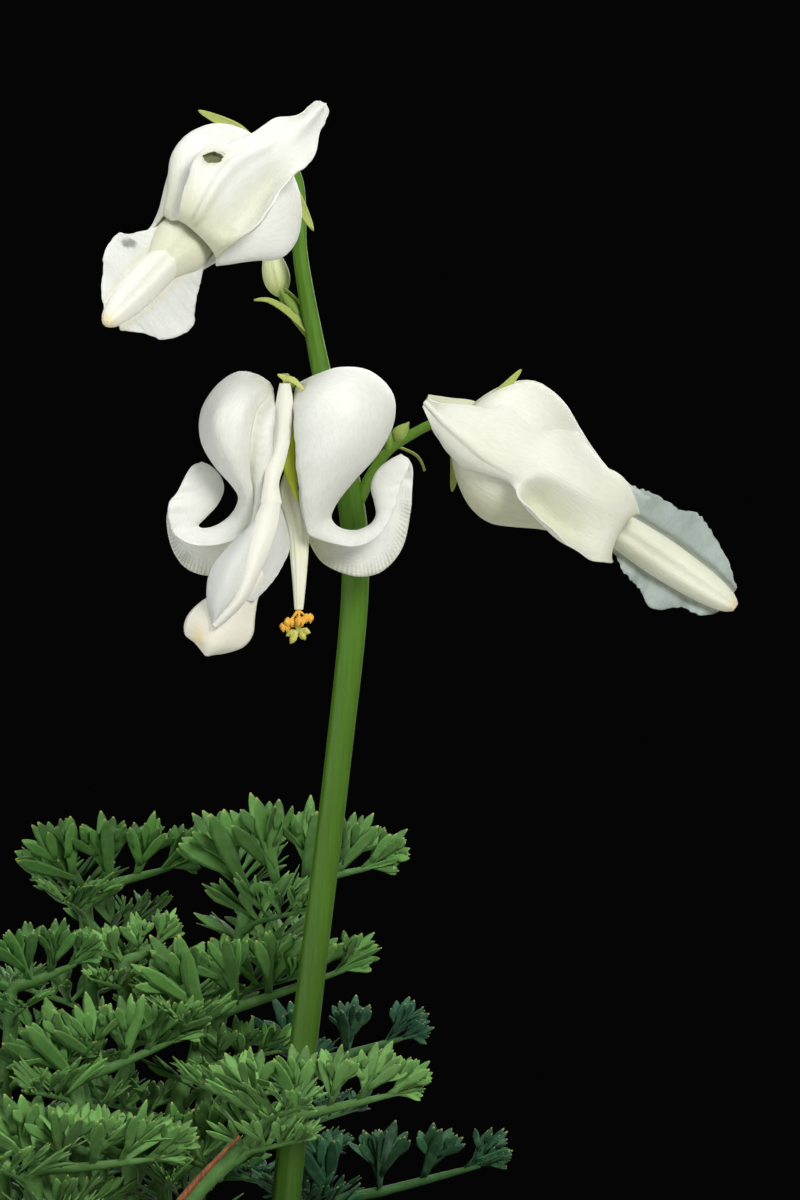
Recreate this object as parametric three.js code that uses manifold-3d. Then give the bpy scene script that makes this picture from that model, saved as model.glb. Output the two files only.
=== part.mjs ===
// A potted fringed bleeding heart: white heart-shaped blooms on one leaning stem
// over a clump of finely cut blue-green leaves, in a plain clay pot.
// Millimetres. +Z is up, the pot stands on Z = 0, and the blooms are seen from -Y.

import * as THREE from "three";
import { mergeVertices } from "three/addons/utils/BufferGeometryUtils.js";
import Module from "manifold-3d";

const wasm = await Module();
wasm.setup();

// Driving dimensions

const POT_HEIGHT = 104;
const POT_FOOT_RADIUS = 43;
const POT_NECK_RADIUS = 56;
const POT_RIM_RADIUS = 61;
const POT_RIM_HEIGHT = 22;
const POT_WALL = 5;
const POT_FLOOR = 7;
const POT_SIDES = 24;
const DRAIN_HOLE_RADIUS = 4.5;
const DRAIN_HOLE_CIRCLE = 20;

const SOIL_TOP = 95;
const SOIL_EDGE_DROP = 4;
const SOIL_HOLE_DEPTH = 14;
const SOIL_COLLAR = 1.5;
const FIT_GAP = 0.3;
const SMALLEST_DETAIL = 0.01;

const PETAL_THICKNESS = 0.6;
const OUTER_PETAL_STEPS = 15;
const OUTER_PETAL_HALF_COLUMNS = 3;
const LEAF_THICKNESS = 0.85;
const STEM_BASE_RADIUS = 1.5;
const STEM_TOP_RADIUS = 0.65;
const LEAF_STALK_RADIUS = 0.95;
const LEAF_RIB_RADIUS = 0.5;
const LEAF_ARCH = -0.12;
const RIB_SHARE = 0.08;

const white = { color: "#eceee6", roughness: 0.6, metalness: 0 };
const cream = { color: "#e6e8c8", roughness: 0.6, metalness: 0 };
const stemGreen = { color: "#6f9a3c", roughness: 0.5, metalness: 0 };
const leafGreen = { color: "#5c8a58", roughness: 0.7, metalness: 0 };
const ovaryGreen = { color: "#a9c22f", roughness: 0.5, metalness: 0 };
const antherOrange = { color: "#f0b42c", roughness: 0.8, metalness: 0 };
const stigmaYellow = { color: "#d2d05c", roughness: 0.7, metalness: 0 };
const driedBrown = { color: "#8a4a22", roughness: 0.8, metalness: 0 };
const clay = { color: "#a8694a", roughness: 0.85, metalness: 0 };
const earth = { color: "#3a2c22", roughness: 1, metalness: 0 };

// Small helpers

const vec = (x, y, z) => new THREE.Vector3(x, y, z);
const radians = THREE.MathUtils.degToRad;
const mix = THREE.MathUtils.lerp;

// A repeatable stream of numbers from 0 to 1.
function seeded(seed) {
  let state = seed;
  return () => {
    state = (state * 1664525 + 1013904223) % 4294967296;
    return state / 4294967296;
  };
}

// A closed surface from points and triangles, turned so that its faces point outwards.
function geometryFrom(points, triangles) {
  let volume = 0;
  for (const [a, b, c] of triangles) {
    volume += points[a].dot(points[b].clone().cross(points[c]));
  }
  const facing = volume < 0 ? triangles.map(([a, b, c]) => [a, c, b]) : triangles;
  const geometry = new THREE.BufferGeometry().setFromPoints(points);
  geometry.setIndex(facing.flat());
  return geometry;
}

function solidFrom(geometry) {
  const bare = geometry.clone();
  bare.deleteAttribute("normal");
  bare.deleteAttribute("uv");
  const merged = mergeVertices(bare, 1e-4);
  return new wasm.Manifold(
    new wasm.Mesh({
      numProp: 3,
      vertProperties: new Float32Array(merged.attributes.position.array),
      triVerts: new Uint32Array(merged.index.array),
    }),
  );
}

function geometryOf(solid) {
  const mesh = solid.getMesh();
  const geometry = new THREE.BufferGeometry();
  geometry.setAttribute("position", new THREE.BufferAttribute(mesh.vertProperties, 3));
  geometry.setIndex(new THREE.BufferAttribute(mesh.triVerts, 1));
  geometry.computeVertexNormals();
  return geometry;
}

// Joins overlapping bodies into one. Small hollows that the joining seals are filled, and
// slivers thinner than the smallest detail are smoothed away.
function fuse(geometries) {
  const whole = geometries.map(solidFrom).reduce((joined, piece) => joined.add(piece));
  const bodies = whole.decompose();
  const body = bodies.reduce((most, next) => (next.volume() > most.volume() ? next : most));
  return body.simplify(SMALLEST_DETAIL);
}

function named(name, geometry, look) {
  const mesh = new THREE.Mesh(geometry, new THREE.MeshStandardMaterial(look));
  mesh.name = name;
  return mesh;
}

// Smooth curve through rows of numbers, all columns alike (uniform Catmull-Rom).
function smoothRows(rows, count) {
  const last = rows.length - 1;
  const row = (i) => rows[Math.min(last, Math.max(0, i))];
  const result = [];
  for (let k = 0; k < count; k++) {
    const place = (k / (count - 1)) * last;
    const i = Math.min(last - 1, Math.floor(place));
    const t = place - i;
    const [a, b, c, d] = [row(i - 1), row(i), row(i + 1), row(i + 2)];
    result.push(
      b.map((value, n) => {
        const slope = 0.5 * (c[n] - a[n]);
        const nextSlope = 0.5 * (d[n] - value);
        const rise = c[n] - value;
        const square = 3 * rise - 2 * slope - nextSlope;
        const cube = slope + nextSlope - 2 * rise;
        return value + t * (slope + t * (square + t * cube));
      }),
    );
  }
  return result;
}

// Rings of points, one after another, closed into a solid with a cap at each end.
function loft(rings) {
  const sides = rings[0].length;
  const at = (k, j) => k * sides + (j % sides);
  const triangles = [];
  for (let k = 0; k + 1 < rings.length; k++) {
    for (let j = 0; j < sides; j++) {
      triangles.push([at(k, j), at(k, j + 1), at(k + 1, j + 1)]);
      triangles.push([at(k, j), at(k + 1, j + 1), at(k + 1, j)]);
    }
  }
  for (let j = 1; j + 1 < sides; j++) {
    triangles.push([at(0, 0), at(0, j + 1), at(0, j)]);
    triangles.push([at(rings.length - 1, 0), at(rings.length - 1, j), at(rings.length - 1, j + 1)]);
  }
  return geometryFrom(rings.flat(), triangles);
}

// A round stalk through steps of [x, y, z, radius].
function stalk(steps, sides) {
  const last = steps.length - 1;
  const centres = steps.map(([x, y, z]) => vec(x, y, z));
  const turn = new THREE.Quaternion();
  let ahead = centres[1].clone().sub(centres[0]).normalize();
  let across = vec(1, 0, 0).cross(ahead).normalize();
  const rings = centres.map((centre, k) => {
    const before = centres[Math.max(0, k - 1)];
    const after = centres[Math.min(last, k + 1)];
    const direction = after.clone().sub(before).normalize();
    turn.setFromUnitVectors(ahead, direction);
    across.applyQuaternion(turn);
    ahead = direction;
    const other = ahead.clone().cross(across);
    const ring = [];
    for (let j = 0; j < sides; j++) {
      const angle = (2 * Math.PI * j) / sides;
      const reach = steps[k][3];
      ring.push(
        centre
          .clone()
          .addScaledVector(across, reach * Math.cos(angle))
          .addScaledVector(other, reach * Math.sin(angle)),
      );
    }
    return ring;
  });
  return loft(rings);
}

// An egg-shaped body between two points.
function egg(from, to, radius, sides, rings) {
  const rows = [];
  for (let k = 0; k <= rings; k++) {
    const t = k / rings;
    const swell = Math.max(0.12, Math.sin(Math.PI * Math.pow(t, 0.8)));
    const centre = from.clone().lerp(to, t);
    rows.push([centre.x, centre.y, centre.z, radius * swell]);
  }
  return stalk(rows, sides);
}

// A thin curved sheet, given as a grid of points, made into a closed shell.
function shell(grid, thickness) {
  const rows = grid.length;
  const columns = grid[0].length;
  const half = thickness / 2;
  const normals = grid.map((line, i) =>
    line.map((_, j) => {
      const down = grid[Math.min(rows - 1, i + 1)][j].clone().sub(grid[Math.max(0, i - 1)][j]);
      const over = line[Math.min(columns - 1, j + 1)].clone().sub(line[Math.max(0, j - 1)]);
      return over.cross(down).normalize();
    }),
  );
  const side = (distance) =>
    grid.map((line, i) => line.map((p, j) => p.clone().addScaledVector(normals[i][j], distance)));
  const points = [...side(half).flat(), ...side(-half).flat()];
  const front = (i, j) => i * columns + j;
  const back = (i, j) => (rows + i) * columns + j;
  const triangles = [];
  const quad = (a, b, c, d) => triangles.push([a, b, c], [a, c, d]);
  for (let i = 0; i + 1 < rows; i++) {
    for (let j = 0; j + 1 < columns; j++) {
      quad(front(i, j), front(i, j + 1), front(i + 1, j + 1), front(i + 1, j));
      triangles.push([back(i, j), back(i + 1, j + 1), back(i, j + 1)]);
      triangles.push([back(i, j), back(i + 1, j), back(i + 1, j + 1)]);
    }
    quad(front(i, 0), front(i + 1, 0), back(i + 1, 0), back(i, 0));
    const j = columns - 1;
    quad(front(i + 1, j), front(i, j), back(i, j), back(i + 1, j));
  }
  for (let j = 0; j + 1 < columns; j++) {
    quad(front(0, j + 1), front(0, j), back(0, j), back(0, j + 1));
    const i = rows - 1;
    quad(front(i, j), front(i, j + 1), back(i, j + 1), back(i, j));
  }
  return geometryFrom(points, triangles);
}

// A flat outline laid on a curved surface and thickened along one direction.
// place(x, y) gives the point on the lower face. Both faces share their triangles.
function plate(line, place, lift) {
  const outline = THREE.ShapeUtils.isClockWise(line) ? [...line].reverse() : line;
  const faces = THREE.ShapeUtils.triangulateShape(outline, []);
  const lower = outline.map((p) => place(p.x, p.y));
  const upper = lower.map((p) => p.clone().add(lift));
  const count = outline.length;
  const triangles = [];
  for (const [a, b, c] of faces) {
    triangles.push([a + count, b + count, c + count], [a, c, b]);
  }
  for (let i = 0; i < count; i++) {
    const next = (i + 1) % count;
    triangles.push([i, next, next + count], [i, next + count, i + count]);
  }
  return geometryFrom([...lower, ...upper], triangles);
}

// The same for a blade folded along the x axis: the outline is that of its left half, from
// (0, 0) round to the far end of the fold, and the right half is its mirror image.
function foldedPlate(line, place, lift) {
  const outline = THREE.ShapeUtils.isClockWise(line) ? [...line].reverse() : line;
  const faces = THREE.ShapeUtils.triangulateShape(outline, []);
  const count = outline.length;
  const points = [];
  const triangles = [];
  for (const side of [1, -1]) {
    const lower = outline.map((p) => place(p.x, side * p.y));
    const upper = lower.map((p) => p.clone().add(lift));
    const start = points.length;
    const add = (a, b, c) => {
      const [second, third] = side > 0 ? [b, c] : [c, b];
      triangles.push([start + a, start + second, start + third]);
    };
    points.push(...lower, ...upper);
    for (const [a, b, c] of faces) {
      add(a + count, b + count, c + count);
      add(a, c, b);
    }
    for (let i = 0; i < count; i++) {
      const next = (i + 1) % count;
      if (outline[i].y > 0 || outline[next].y > 0) {
        add(i, next, next + count);
        add(i, next + count, i + count);
      }
    }
  }
  return geometryFrom(points, triangles);
}

// Pot and soil

function drainHoles() {
  const holes = [];
  for (let k = 0; k < 3; k++) {
    const hole = new THREE.CylinderGeometry(DRAIN_HOLE_RADIUS, DRAIN_HOLE_RADIUS, 3 * POT_FLOOR, 10);
    const angle = radians(90 + 120 * k);
    hole.rotateX(Math.PI / 2);
    hole.translate(DRAIN_HOLE_CIRCLE * Math.cos(angle), DRAIN_HOLE_CIRCLE * Math.sin(angle), 0);
    holes.push(hole);
  }
  return holes;
}

function makePot() {
  const rimFoot = POT_HEIGHT - POT_RIM_HEIGHT;
  const inside = POT_NECK_RADIUS - POT_WALL;
  const profile = [
    [0, 0],
    [POT_FOOT_RADIUS - 1, 0],
    [POT_FOOT_RADIUS, 1.5],
    [POT_NECK_RADIUS, rimFoot],
    [POT_RIM_RADIUS - 1.5, rimFoot + 0.5],
    [POT_RIM_RADIUS - 0.5, rimFoot + 3],
    [POT_RIM_RADIUS, POT_HEIGHT - 1.5],
    [POT_RIM_RADIUS - 1.5, POT_HEIGHT],
    [inside + 3.5, POT_HEIGHT],
    [inside + 2, POT_HEIGHT - 2],
    [inside + 1, rimFoot],
    [POT_FOOT_RADIUS - POT_WALL, POT_FLOOR],
    [0, POT_FLOOR],
  ].map(([r, h]) => new THREE.Vector2(r, h));
  const body = new THREE.LatheGeometry(profile, POT_SIDES);
  body.rotateX(Math.PI / 2);
  let pot = solidFrom(body);
  for (const hole of drainHoles()) {
    pot = pot.subtract(solidFrom(hole));
  }
  return named("pot", geometryOf(pot), clay);
}

// Every stalk that stands in the soil has its own hole, and is straight as far as its top.
const soilHoles = [];

function standingStalk([x, y], radius, rows, count, sides) {
  soilHoles.push({ x, y, radius: 1.16 * (radius + FIT_GAP) });
  const foot = [x, y, SOIL_TOP - SOIL_HOLE_DEPTH + FIT_GAP, radius];
  const collar = [x, y, SOIL_TOP + SOIL_COLLAR, radius];
  return stalk([foot, ...smoothRows([collar, ...rows], count)], sides);
}

function makeSoil() {
  const rimFoot = POT_HEIGHT - POT_RIM_HEIGHT;
  const inside = POT_NECK_RADIUS - POT_WALL;
  const profile = [
    [0, POT_FLOOR + FIT_GAP],
    [POT_FOOT_RADIUS - POT_WALL - FIT_GAP - 0.3, POT_FLOOR + FIT_GAP],
    [inside + 1 - FIT_GAP - 0.3, rimFoot],
    [inside + 1.4 - FIT_GAP - 0.3, SOIL_TOP - SOIL_EDGE_DROP],
    [34, SOIL_TOP - 1],
    [20, SOIL_TOP],
    [0, SOIL_TOP],
  ].map(([r, h]) => new THREE.Vector2(r, h));
  const body = new THREE.LatheGeometry(profile, POT_SIDES);
  body.rotateX(Math.PI / 2);
  let soil = solidFrom(body);
  for (const { x, y, radius } of soilHoles) {
    const hole = new THREE.CylinderGeometry(radius, radius, 2 * SOIL_HOLE_DEPTH, 6);
    hole.rotateX(Math.PI / 2);
    hole.translate(x, y, SOIL_TOP);
    soil = soil.subtract(solidFrom(hole));
  }
  return named("soil", geometryOf(soil), earth);
}

// Blooms
// A bloom has its own frame: u runs from its base to its tip, r runs out to the keel of
// an outer petal, and w = r x u runs sideways.

function bloomFrame(base, out, along, size) {
  return { base, out, along, across: out.clone().cross(along), size };
}

function turnedAbout(frame) {
  return bloomFrame(frame.base, frame.out.clone().negate(), frame.along, frame.size);
}

function inFrame(frame, r, u, w) {
  return frame.base
    .clone()
    .addScaledVector(frame.out, r * frame.size)
    .addScaledVector(frame.along, u * frame.size)
    .addScaledVector(frame.across, w * frame.size);
}

// An outer petal is swept along its keel. Each row gives the keel point (r, u, w); then, for
// each half of the petal, how far its margin lies from the keel in r and u; then the two
// half widths, and how far the petal wraps round from the keel, in degrees.
const ALIKE = null;

const bentBackPetal = [
  [1.2, 0.2, 0, -0.4, 0.5, ALIKE, ALIKE, 0.9, 0.9, 90],
  [3.2, -0.7, 0, -2.6, 2.5, ALIKE, ALIKE, 3.6, 2.6, 115],
  [5.8, -1.2, 0, -5.2, 4.4, ALIKE, ALIKE, 6.1, 3.9, 128],
  [8.2, -0.2, 0, -7.6, 4.8, ALIKE, ALIKE, 7.2, 5.2, 135],
  [9.5, 2.2, 0, -8.9, 3.8, ALIKE, ALIKE, 7.4, 6.2, 137],
  [9.4, 5.2, 0, -8.8, 2.4, ALIKE, ALIKE, 7.0, 6.4, 137],
  [8.0, 8.2, 0, -7.4, 1.2, ALIKE, ALIKE, 6.1, 5.4, 133],
  [6.0, 10.8, 0, -5.3, 0.6, ALIKE, ALIKE, 5.1, 4.2, 128],
  [4.3, 13.0, 0, -3.5, 0.4, ALIKE, ALIKE, 4.4, 3.4, 120],
  [3.2, 14.9, 0, -2.2, 0.5, ALIKE, ALIKE, 4.0, 2.8, 108],
  [3.1, 16.4, 0, -1.6, 1.2, ALIKE, ALIKE, 3.9, 2.7, 95],
  [4.2, 17.4, 0, -0.8, 1.4, ALIKE, ALIKE, 4.2, 2.9, 82],
  [5.9, 17.2, 0, 0.5, 1.4, ALIKE, ALIKE, 4.4, 3.2, 74],
  [7.4, 15.6, 0, 1.6, 1.2, ALIKE, ALIKE, 4.6, 3.4, 70],
  [8.5, 13.0, 0, 1.8, 0.8, ALIKE, ALIKE, 4.6, 3.6, 68],
  [9.6, 9.8, 0, 1.5, 0.4, ALIKE, ALIKE, 4.2, 3.4, 66],
  [10.6, 6.2, 0, 1.1, 0.2, ALIKE, ALIKE, 3.5, 3.1, 64],
  [11.0, 2.4, 0, 0.9, 0.1, ALIKE, ALIKE, 3.4, 3.0, 62],
  [10.7, -1.0, 0, 0.8, 0, ALIKE, ALIKE, 3.0, 2.4, 62],
  [10.1, -3.6, 0, 0.6, -0.2, ALIKE, ALIKE, 1.8, 1.6, 60],
  [9.7, -5.2, 0, 0.2, -0.1, ALIKE, ALIKE, 0.5, 0.5, 60],
];

// The right bloom's near petal: its blade lies over its own pouch, the upper half drapes
// down, and the lower half flares out as a spoon near the mouth.
const spoonPetal = [
  ...bentBackPetal.slice(0, 9),
  [3.2, 14.9, 0.3, -2.2, 0.5, ALIKE, ALIKE, 3.8, 3.2, 108],
  [3.1, 16.4, 0.5, -1.6, 1.0, -1.6, 1.0, 3.0, 3.2, 95],
  [4.2, 17.6, 0.6, -0.8, 1.0, -0.6, 1.3, 2.0, 3.6, 82],
  [6.0, 17.6, 0.8, -1.2, 0.6, 1.0, 1.1, 2.1, 4.1, 76],
  [7.6, 15.9, 1.1, -2.6, 0.2, 1.8, 0.9, 3.2, 5.1, 76],
  [8.8, 13.2, 1.2, -4.4, 0, 2.0, 0.5, 4.3, 5.5, 76],
  [9.6, 10.2, 1.1, -5.2, 0, 1.8, 0.1, 4.8, 4.6, 76],
  [10.1, 7.8, 0.5, -5.2, 0, 1.4, -0.2, 5.6, 3.5, 76],
  [10.5, 6.0, -0.9, -5.0, 0, -0.5, 0, 7.0, 1.2, 74],
  [10.9, 2.8, -1.2, -4.8, 0, -1.3, 0, 7.4, 1.9, 72],
  [11.1, 0.3, -0.9, -2.4, 0, -1.2, 0, 4.4, 2.3, 70],
  [10.9, -2.4, -0.6, -0.9, 0, -0.9, 0, 2.0, 1.9, 66],
  [10.5, -4.4, -0.2, 0.3, 0, 0.3, 0, 1.0, 1.0, 62],
  [10.2, -5.4, 0, 0.3, 0, 0.3, 0, 0.6, 0.5, 60],
];

// The top bloom's near petal has a flatter pouch, and its blade turns up to a narrow tip.
const upturnedPetal = [
  [1.2, 0.2, 0, -0.4, 0.5, ALIKE, ALIKE, 0.9, 0.9, 90],
  [2.4, -0.4, 0, -1.8, 2.2, ALIKE, ALIKE, 3.2, 3.6, 115],
  [3.8, -0.3, 0.3, -3.2, 3.5, ALIKE, ALIKE, 5.2, 6.0, 128],
  [5.0, 0.8, 0.4, -4.4, 3.8, ALIKE, ALIKE, 6.1, 7.1, 135],
  [5.8, 2.8, 0.5, -5.2, 3.4, ALIKE, ALIKE, 7.2, 7.8, 137],
  [6.1, 5.4, 0.5, -5.5, 2.2, ALIKE, ALIKE, 8.1, 8.1, 137],
  [5.8, 8.2, 0.4, -5.2, 1.2, ALIKE, ALIKE, 8.2, 7.7, 133],
  [5.0, 10.8, 0.2, -4.3, 0.6, ALIKE, ALIKE, 6.8, 6.3, 128],
  [4.2, 13.0, 0.2, -3.4, 0.4, ALIKE, ALIKE, 5.4, 4.9, 120],
  [3.4, 14.6, 0.2, -2.4, 0.4, ALIKE, ALIKE, 4.6, 4.0, 108],
  [3.3, 15.7, 0.4, -1.8, 0.3, -1.4, 0.2, 4.0, 3.0, 95],
  [4.2, 16.1, 0.4, -0.6, 0.5, -1.0, 0.2, 3.9, 2.6, 82],
  [5.6, 15.8, 0.4, 0.9, 0.6, -1.2, 0.3, 4.2, 3.3, 74],
  [6.8, 14.4, 0.2, 1.7, 0.8, -1.4, 0.4, 4.8, 4.2, 72],
  [7.8, 12.0, 0.1, 1.9, 0.8, -1.6, 0, 4.9, 5.4, 72],
  [8.6, 9.4, 0.1, 1.4, 0.4, -1.6, 0, 4.2, 5.6, 70],
  [9.3, 7.0, 0.5, 0.8, 0, -1.2, 0, 3.7, 4.5, 68],
  [9.9, 4.6, 0.8, 0.5, 0, -0.6, 0, 3.5, 3.6, 66],
  [10.4, 2.2, 0.95, 0.5, 0, -0.2, 0, 2.9, 3.4, 64],
  [10.6, 0.3, 0.95, 0.5, 0, 0.2, 0, 1.9, 1.8, 62],
  [10.6, -2.0, 0.85, 0.4, 0, 0.3, 0, 1.3, 1.3, 62],
  [10.2, -4.0, 0.8, 0.2, 0, 0.2, 0, 1.25, 1.25, 60],
  [9.8, -4.9, 0.8, 0.1, 0, 0.1, 0, 0.8, 0.8, 60],
];

// The top bloom's far petal is mostly hidden.
const tuckedPetal = [
  [1.2, 0.2, 0, -0.4, 0.5, ALIKE, ALIKE, 0.9, 0.9, 90],
  [2.4, -0.5, 0, -1.8, 2.3, ALIKE, ALIKE, 3.4, 3.4, 115],
  [3.8, -0.6, 0, -3.2, 3.8, ALIKE, ALIKE, 5.4, 5.2, 128],
  [5.0, 0.6, 0, -4.4, 4.0, ALIKE, ALIKE, 6.4, 6.2, 135],
  [5.4, 2.8, 0, -4.8, 3.2, ALIKE, ALIKE, 6.6, 6.0, 137],
  [5.2, 5.6, 0, -4.6, 2.0, ALIKE, ALIKE, 6.0, 5.4, 137],
  [4.8, 8.4, 0, -4.2, 1.0, ALIKE, ALIKE, 5.2, 4.6, 133],
  [4.2, 10.9, 0, -3.5, 0.5, ALIKE, ALIKE, 4.4, 4.0, 128],
  [3.6, 13.0, 0, -2.8, 0.4, ALIKE, ALIKE, 3.9, 3.6, 120],
  [3.0, 14.9, 0, -2.0, 0.5, ALIKE, ALIKE, 3.6, 3.3, 108],
  [3.1, 16.4, 0, -1.6, 1.2, ALIKE, ALIKE, 3.8, 3.4, 95],
  [4.2, 17.4, 0, -0.8, 1.8, ALIKE, ALIKE, 4.0, 3.9, 82],
  [5.7, 16.8, 0, 0.5, 2.0, ALIKE, ALIKE, 4.3, 4.4, 74],
  [6.6, 14.8, 0, 1.4, 1.4, ALIKE, ALIKE, 4.4, 4.6, 70],
  [7.0, 12.0, 0, 1.6, 0.8, ALIKE, ALIKE, 4.2, 4.2, 68],
  [7.2, 9.0, 0, 1.4, 0.4, ALIKE, ALIKE, 3.6, 3.6, 66],
  [7.3, 6.0, 0, 1.0, 0.2, ALIKE, ALIKE, 2.9, 2.9, 64],
  [7.2, 3.4, 0, 0.6, 0, ALIKE, ALIKE, 1.8, 1.8, 62],
  [7.0, 1.8, 0, 0.2, -0.1, ALIKE, ALIKE, 0.5, 0.5, 60],
];

// The central bloom's petals curl out. Beyond the waist the half in front is a narrow rolled
// strip, and the half behind flares out below it.
const curledRightPetal = [
  [1.5, 0.2, 0, -0.5, 0.5, ALIKE, ALIKE, 0.9, 0.9, 90],
  [3.2, -0.6, 0, -2.3, 2.5, ALIKE, ALIKE, 3.4, 3.4, 115],
  [5.6, -1.3, 0, -4.7, 4.9, ALIKE, ALIKE, 5.6, 5.6, 128],
  [8.4, -0.9, 0, -7.4, 6.1, ALIKE, ALIKE, 6.8, 6.8, 135],
  [10.5, 1.2, 0, -9.4, 5.6, ALIKE, ALIKE, 7.0, 7.0, 137],
  [10.6, 4.0, 0, -9.4, 4.6, ALIKE, ALIKE, 6.6, 6.6, 135],
  [9.1, 7.0, 0, -7.7, 3.6, ALIKE, ALIKE, 5.4, 5.4, 130],
  [6.8, 9.6, 0, -5.2, 3.0, ALIKE, ALIKE, 4.2, 4.2, 122],
  [5.0, 11.9, 0, -3.2, 2.3, -3.0, 2.3, 3.4, 3.2, 108],
  [4.4, 13.5, 0, -2.0, 2.6, -1.9, 1.7, 3.0, 2.6, 98],
  [5.3, 14.6, 0, -1.4, 3.6, -0.9, 1.3, 2.8, 1.7, 94],
  [7.0, 14.9, 0, 0, 4.5, -0.2, 1.4, 2.8, 1.3, 90],
  [8.5, 14.3, 0, 1.1, 4.6, 0.2, 1.4, 2.7, 1.2, 88],
  [9.2, 13.2, 0, 2.4, 3.4, 0.9, 0.9, 2.5, 1.1, 86],
  [9.0, 11.8, 0, 3.4, 1.5, 2.0, 0.3, 2.2, 1.1, 82],
  [8.7, 10.4, 0, 3.9, 0.4, 2.7, 0.1, 1.9, 1.0, 78],
  [9.2, 9.0, 0, 3.5, 0.2, 2.8, 0.1, 1.5, 0.9, 75],
  [10.3, 8.0, 0, 2.3, 0.3, 2.0, 0.2, 0.9, 0.7, 72],
  [11.6, 7.3, 0, 0.6, 0.3, 0.6, 0.3, 0.4, 0.4, 70],
];

const curledLeftPetal = [
  [1.6, 0.2, 0, -0.4, 0.5, ALIKE, ALIKE, 0.9, 0.9, 90],
  [2.9, -0.6, 0, -1.7, 2.5, ALIKE, ALIKE, 3.0, 3.0, 115],
  [4.8, -0.8, 0, -3.4, 4.2, ALIKE, ALIKE, 5.2, 5.2, 128],
  [6.8, 0.6, 0, -5.3, 4.4, ALIKE, ALIKE, 6.5, 6.5, 135],
  [8.2, 3.0, 0, -6.6, 3.6, ALIKE, ALIKE, 6.8, 6.8, 137],
  [8.2, 5.8, 0, -6.3, 2.6, ALIKE, ALIKE, 6.3, 6.3, 135],
  [6.9, 8.2, 0, -4.7, 1.9, ALIKE, ALIKE, 5.2, 5.2, 130],
  [5.3, 10.0, 0, -2.8, 1.9, ALIKE, ALIKE, 4.0, 4.0, 122],
  [4.5, 11.3, 0, -1.4, 2.3, -1.6, 2.6, 3.2, 3.2, 110],
  [4.8, 12.6, 0, -0.8, 2.4, -1.4, 3.6, 2.4, 2.8, 98],
  [5.7, 13.7, 0, -0.5, 2.0, -1.0, 4.3, 1.7, 2.7, 94],
  [7.0, 14.5, 0, 0.2, 1.7, 0.2, 4.8, 1.4, 2.7, 90],
  [8.3, 14.7, 0, 1.0, 1.4, 1.4, 4.0, 1.2, 2.6, 88],
  [8.8, 14.2, 0, 2.2, 0.9, 2.4, 2.6, 1.2, 2.2, 86],
  [8.0, 13.3, 0, 3.6, 0, 3.8, 0.8, 1.2, 1.6, 84],
  [6.9, 12.1, 0, 4.6, -0.2, 4.6, 0, 1.3, 1.2, 80],
  [6.3, 10.7, 0, 4.4, 0.2, 4.4, 0.2, 1.2, 1.0, 76],
  [6.6, 9.4, 0, 3.4, 0.1, 3.4, 0.1, 1.0, 0.8, 74],
  [7.5, 8.5, 0, 1.9, 0, 1.9, 0, 0.7, 0.6, 72],
  [8.4, 8.1, 0, 0.4, 0, 0.4, 0, 0.4, 0.4, 70],
];

// Where a row says ALIKE, the second half's margin lies as the first half's does.
function filled(rows) {
  return rows.map((row) => row.map((value, k) => (value === ALIKE ? row[k - 2] : value)));
}

// The same petal with its two halves changed over.
function mirrored(rows) {
  return filled(rows).map(([r, u, w, ahead, below, otherAhead, otherBelow, half, otherHalf, wrap]) => [
    r, u, w, otherAhead, otherBelow, ahead, below, otherHalf, half, wrap,
  ]);
}

function outerPetalGrid(rows, frame) {
  return smoothRows(filled(rows), OUTER_PETAL_STEPS).map((station) => {
    const [r, u, w, ...margins] = station;
    const wrap = radians(station[9]);
    const line = [];
    for (let j = -OUTER_PETAL_HALF_COLUMNS; j <= OUTER_PETAL_HALF_COLUMNS; j++) {
      const second = j > 0 ? 0 : 1;
      const [marginR, marginU, half] = [margins[2 * second], margins[2 * second + 1], margins[4 + second]];
      const turn = (Math.abs(j) / OUTER_PETAL_HALF_COLUMNS) * wrap;
      const inward = (1 - Math.cos(turn)) / (1 - Math.cos(wrap));
      const sideways = Math.sign(j) * half * Math.sin(turn);
      line.push(inFrame(frame, r + marginR * inward, u + marginU * inward, w + sideways));
    }
    return line;
  });
}

function makeOuterPetal(name, rows, frame) {
  return named(name, shell(outerPetalGrid(rows, frame), PETAL_THICKNESS), white);
}

// The two inner petals are joined at the tip into a grooved boat with a frilled crest on
// each side. Rows are [u, half width, half depth].

const innerBoat = [
  [0.6, 0.3, 0.3],
  [4, 0.45, 0.45],
  [11, 0.8, 0.8],
  [15, 1.2, 1.2],
  [18, 1.75, 1.6],
  [23, 1.95, 1.8],
  [28, 1.65, 1.6],
  [30.8, 1.1, 1.1],
  [31.9, 0.45, 0.45],
];

const crestLine = [
  [16.2, 2.6],
  [18.5, 3.9],
  [21, 4.5],
  [23, 5.1],
  [25.4, 5.0],
  [27.4, 4.2],
  [29.3, 3.0],
  [30.9, 1.6],
];

function boatRing(frame, [u, halfWidth, halfDepth]) {
  const sides = 12;
  const groove = 0.35;
  const ring = [];
  for (let j = 0; j < sides; j++) {
    const angle = (2 * Math.PI * j) / sides;
    const rise = Math.sin(angle);
    const dip = 1 - groove * Math.pow(Math.abs(rise), 6);
    ring.push(inFrame(frame, -halfDepth * rise * dip, u, halfWidth * Math.cos(angle)));
  }
  return ring;
}

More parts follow.
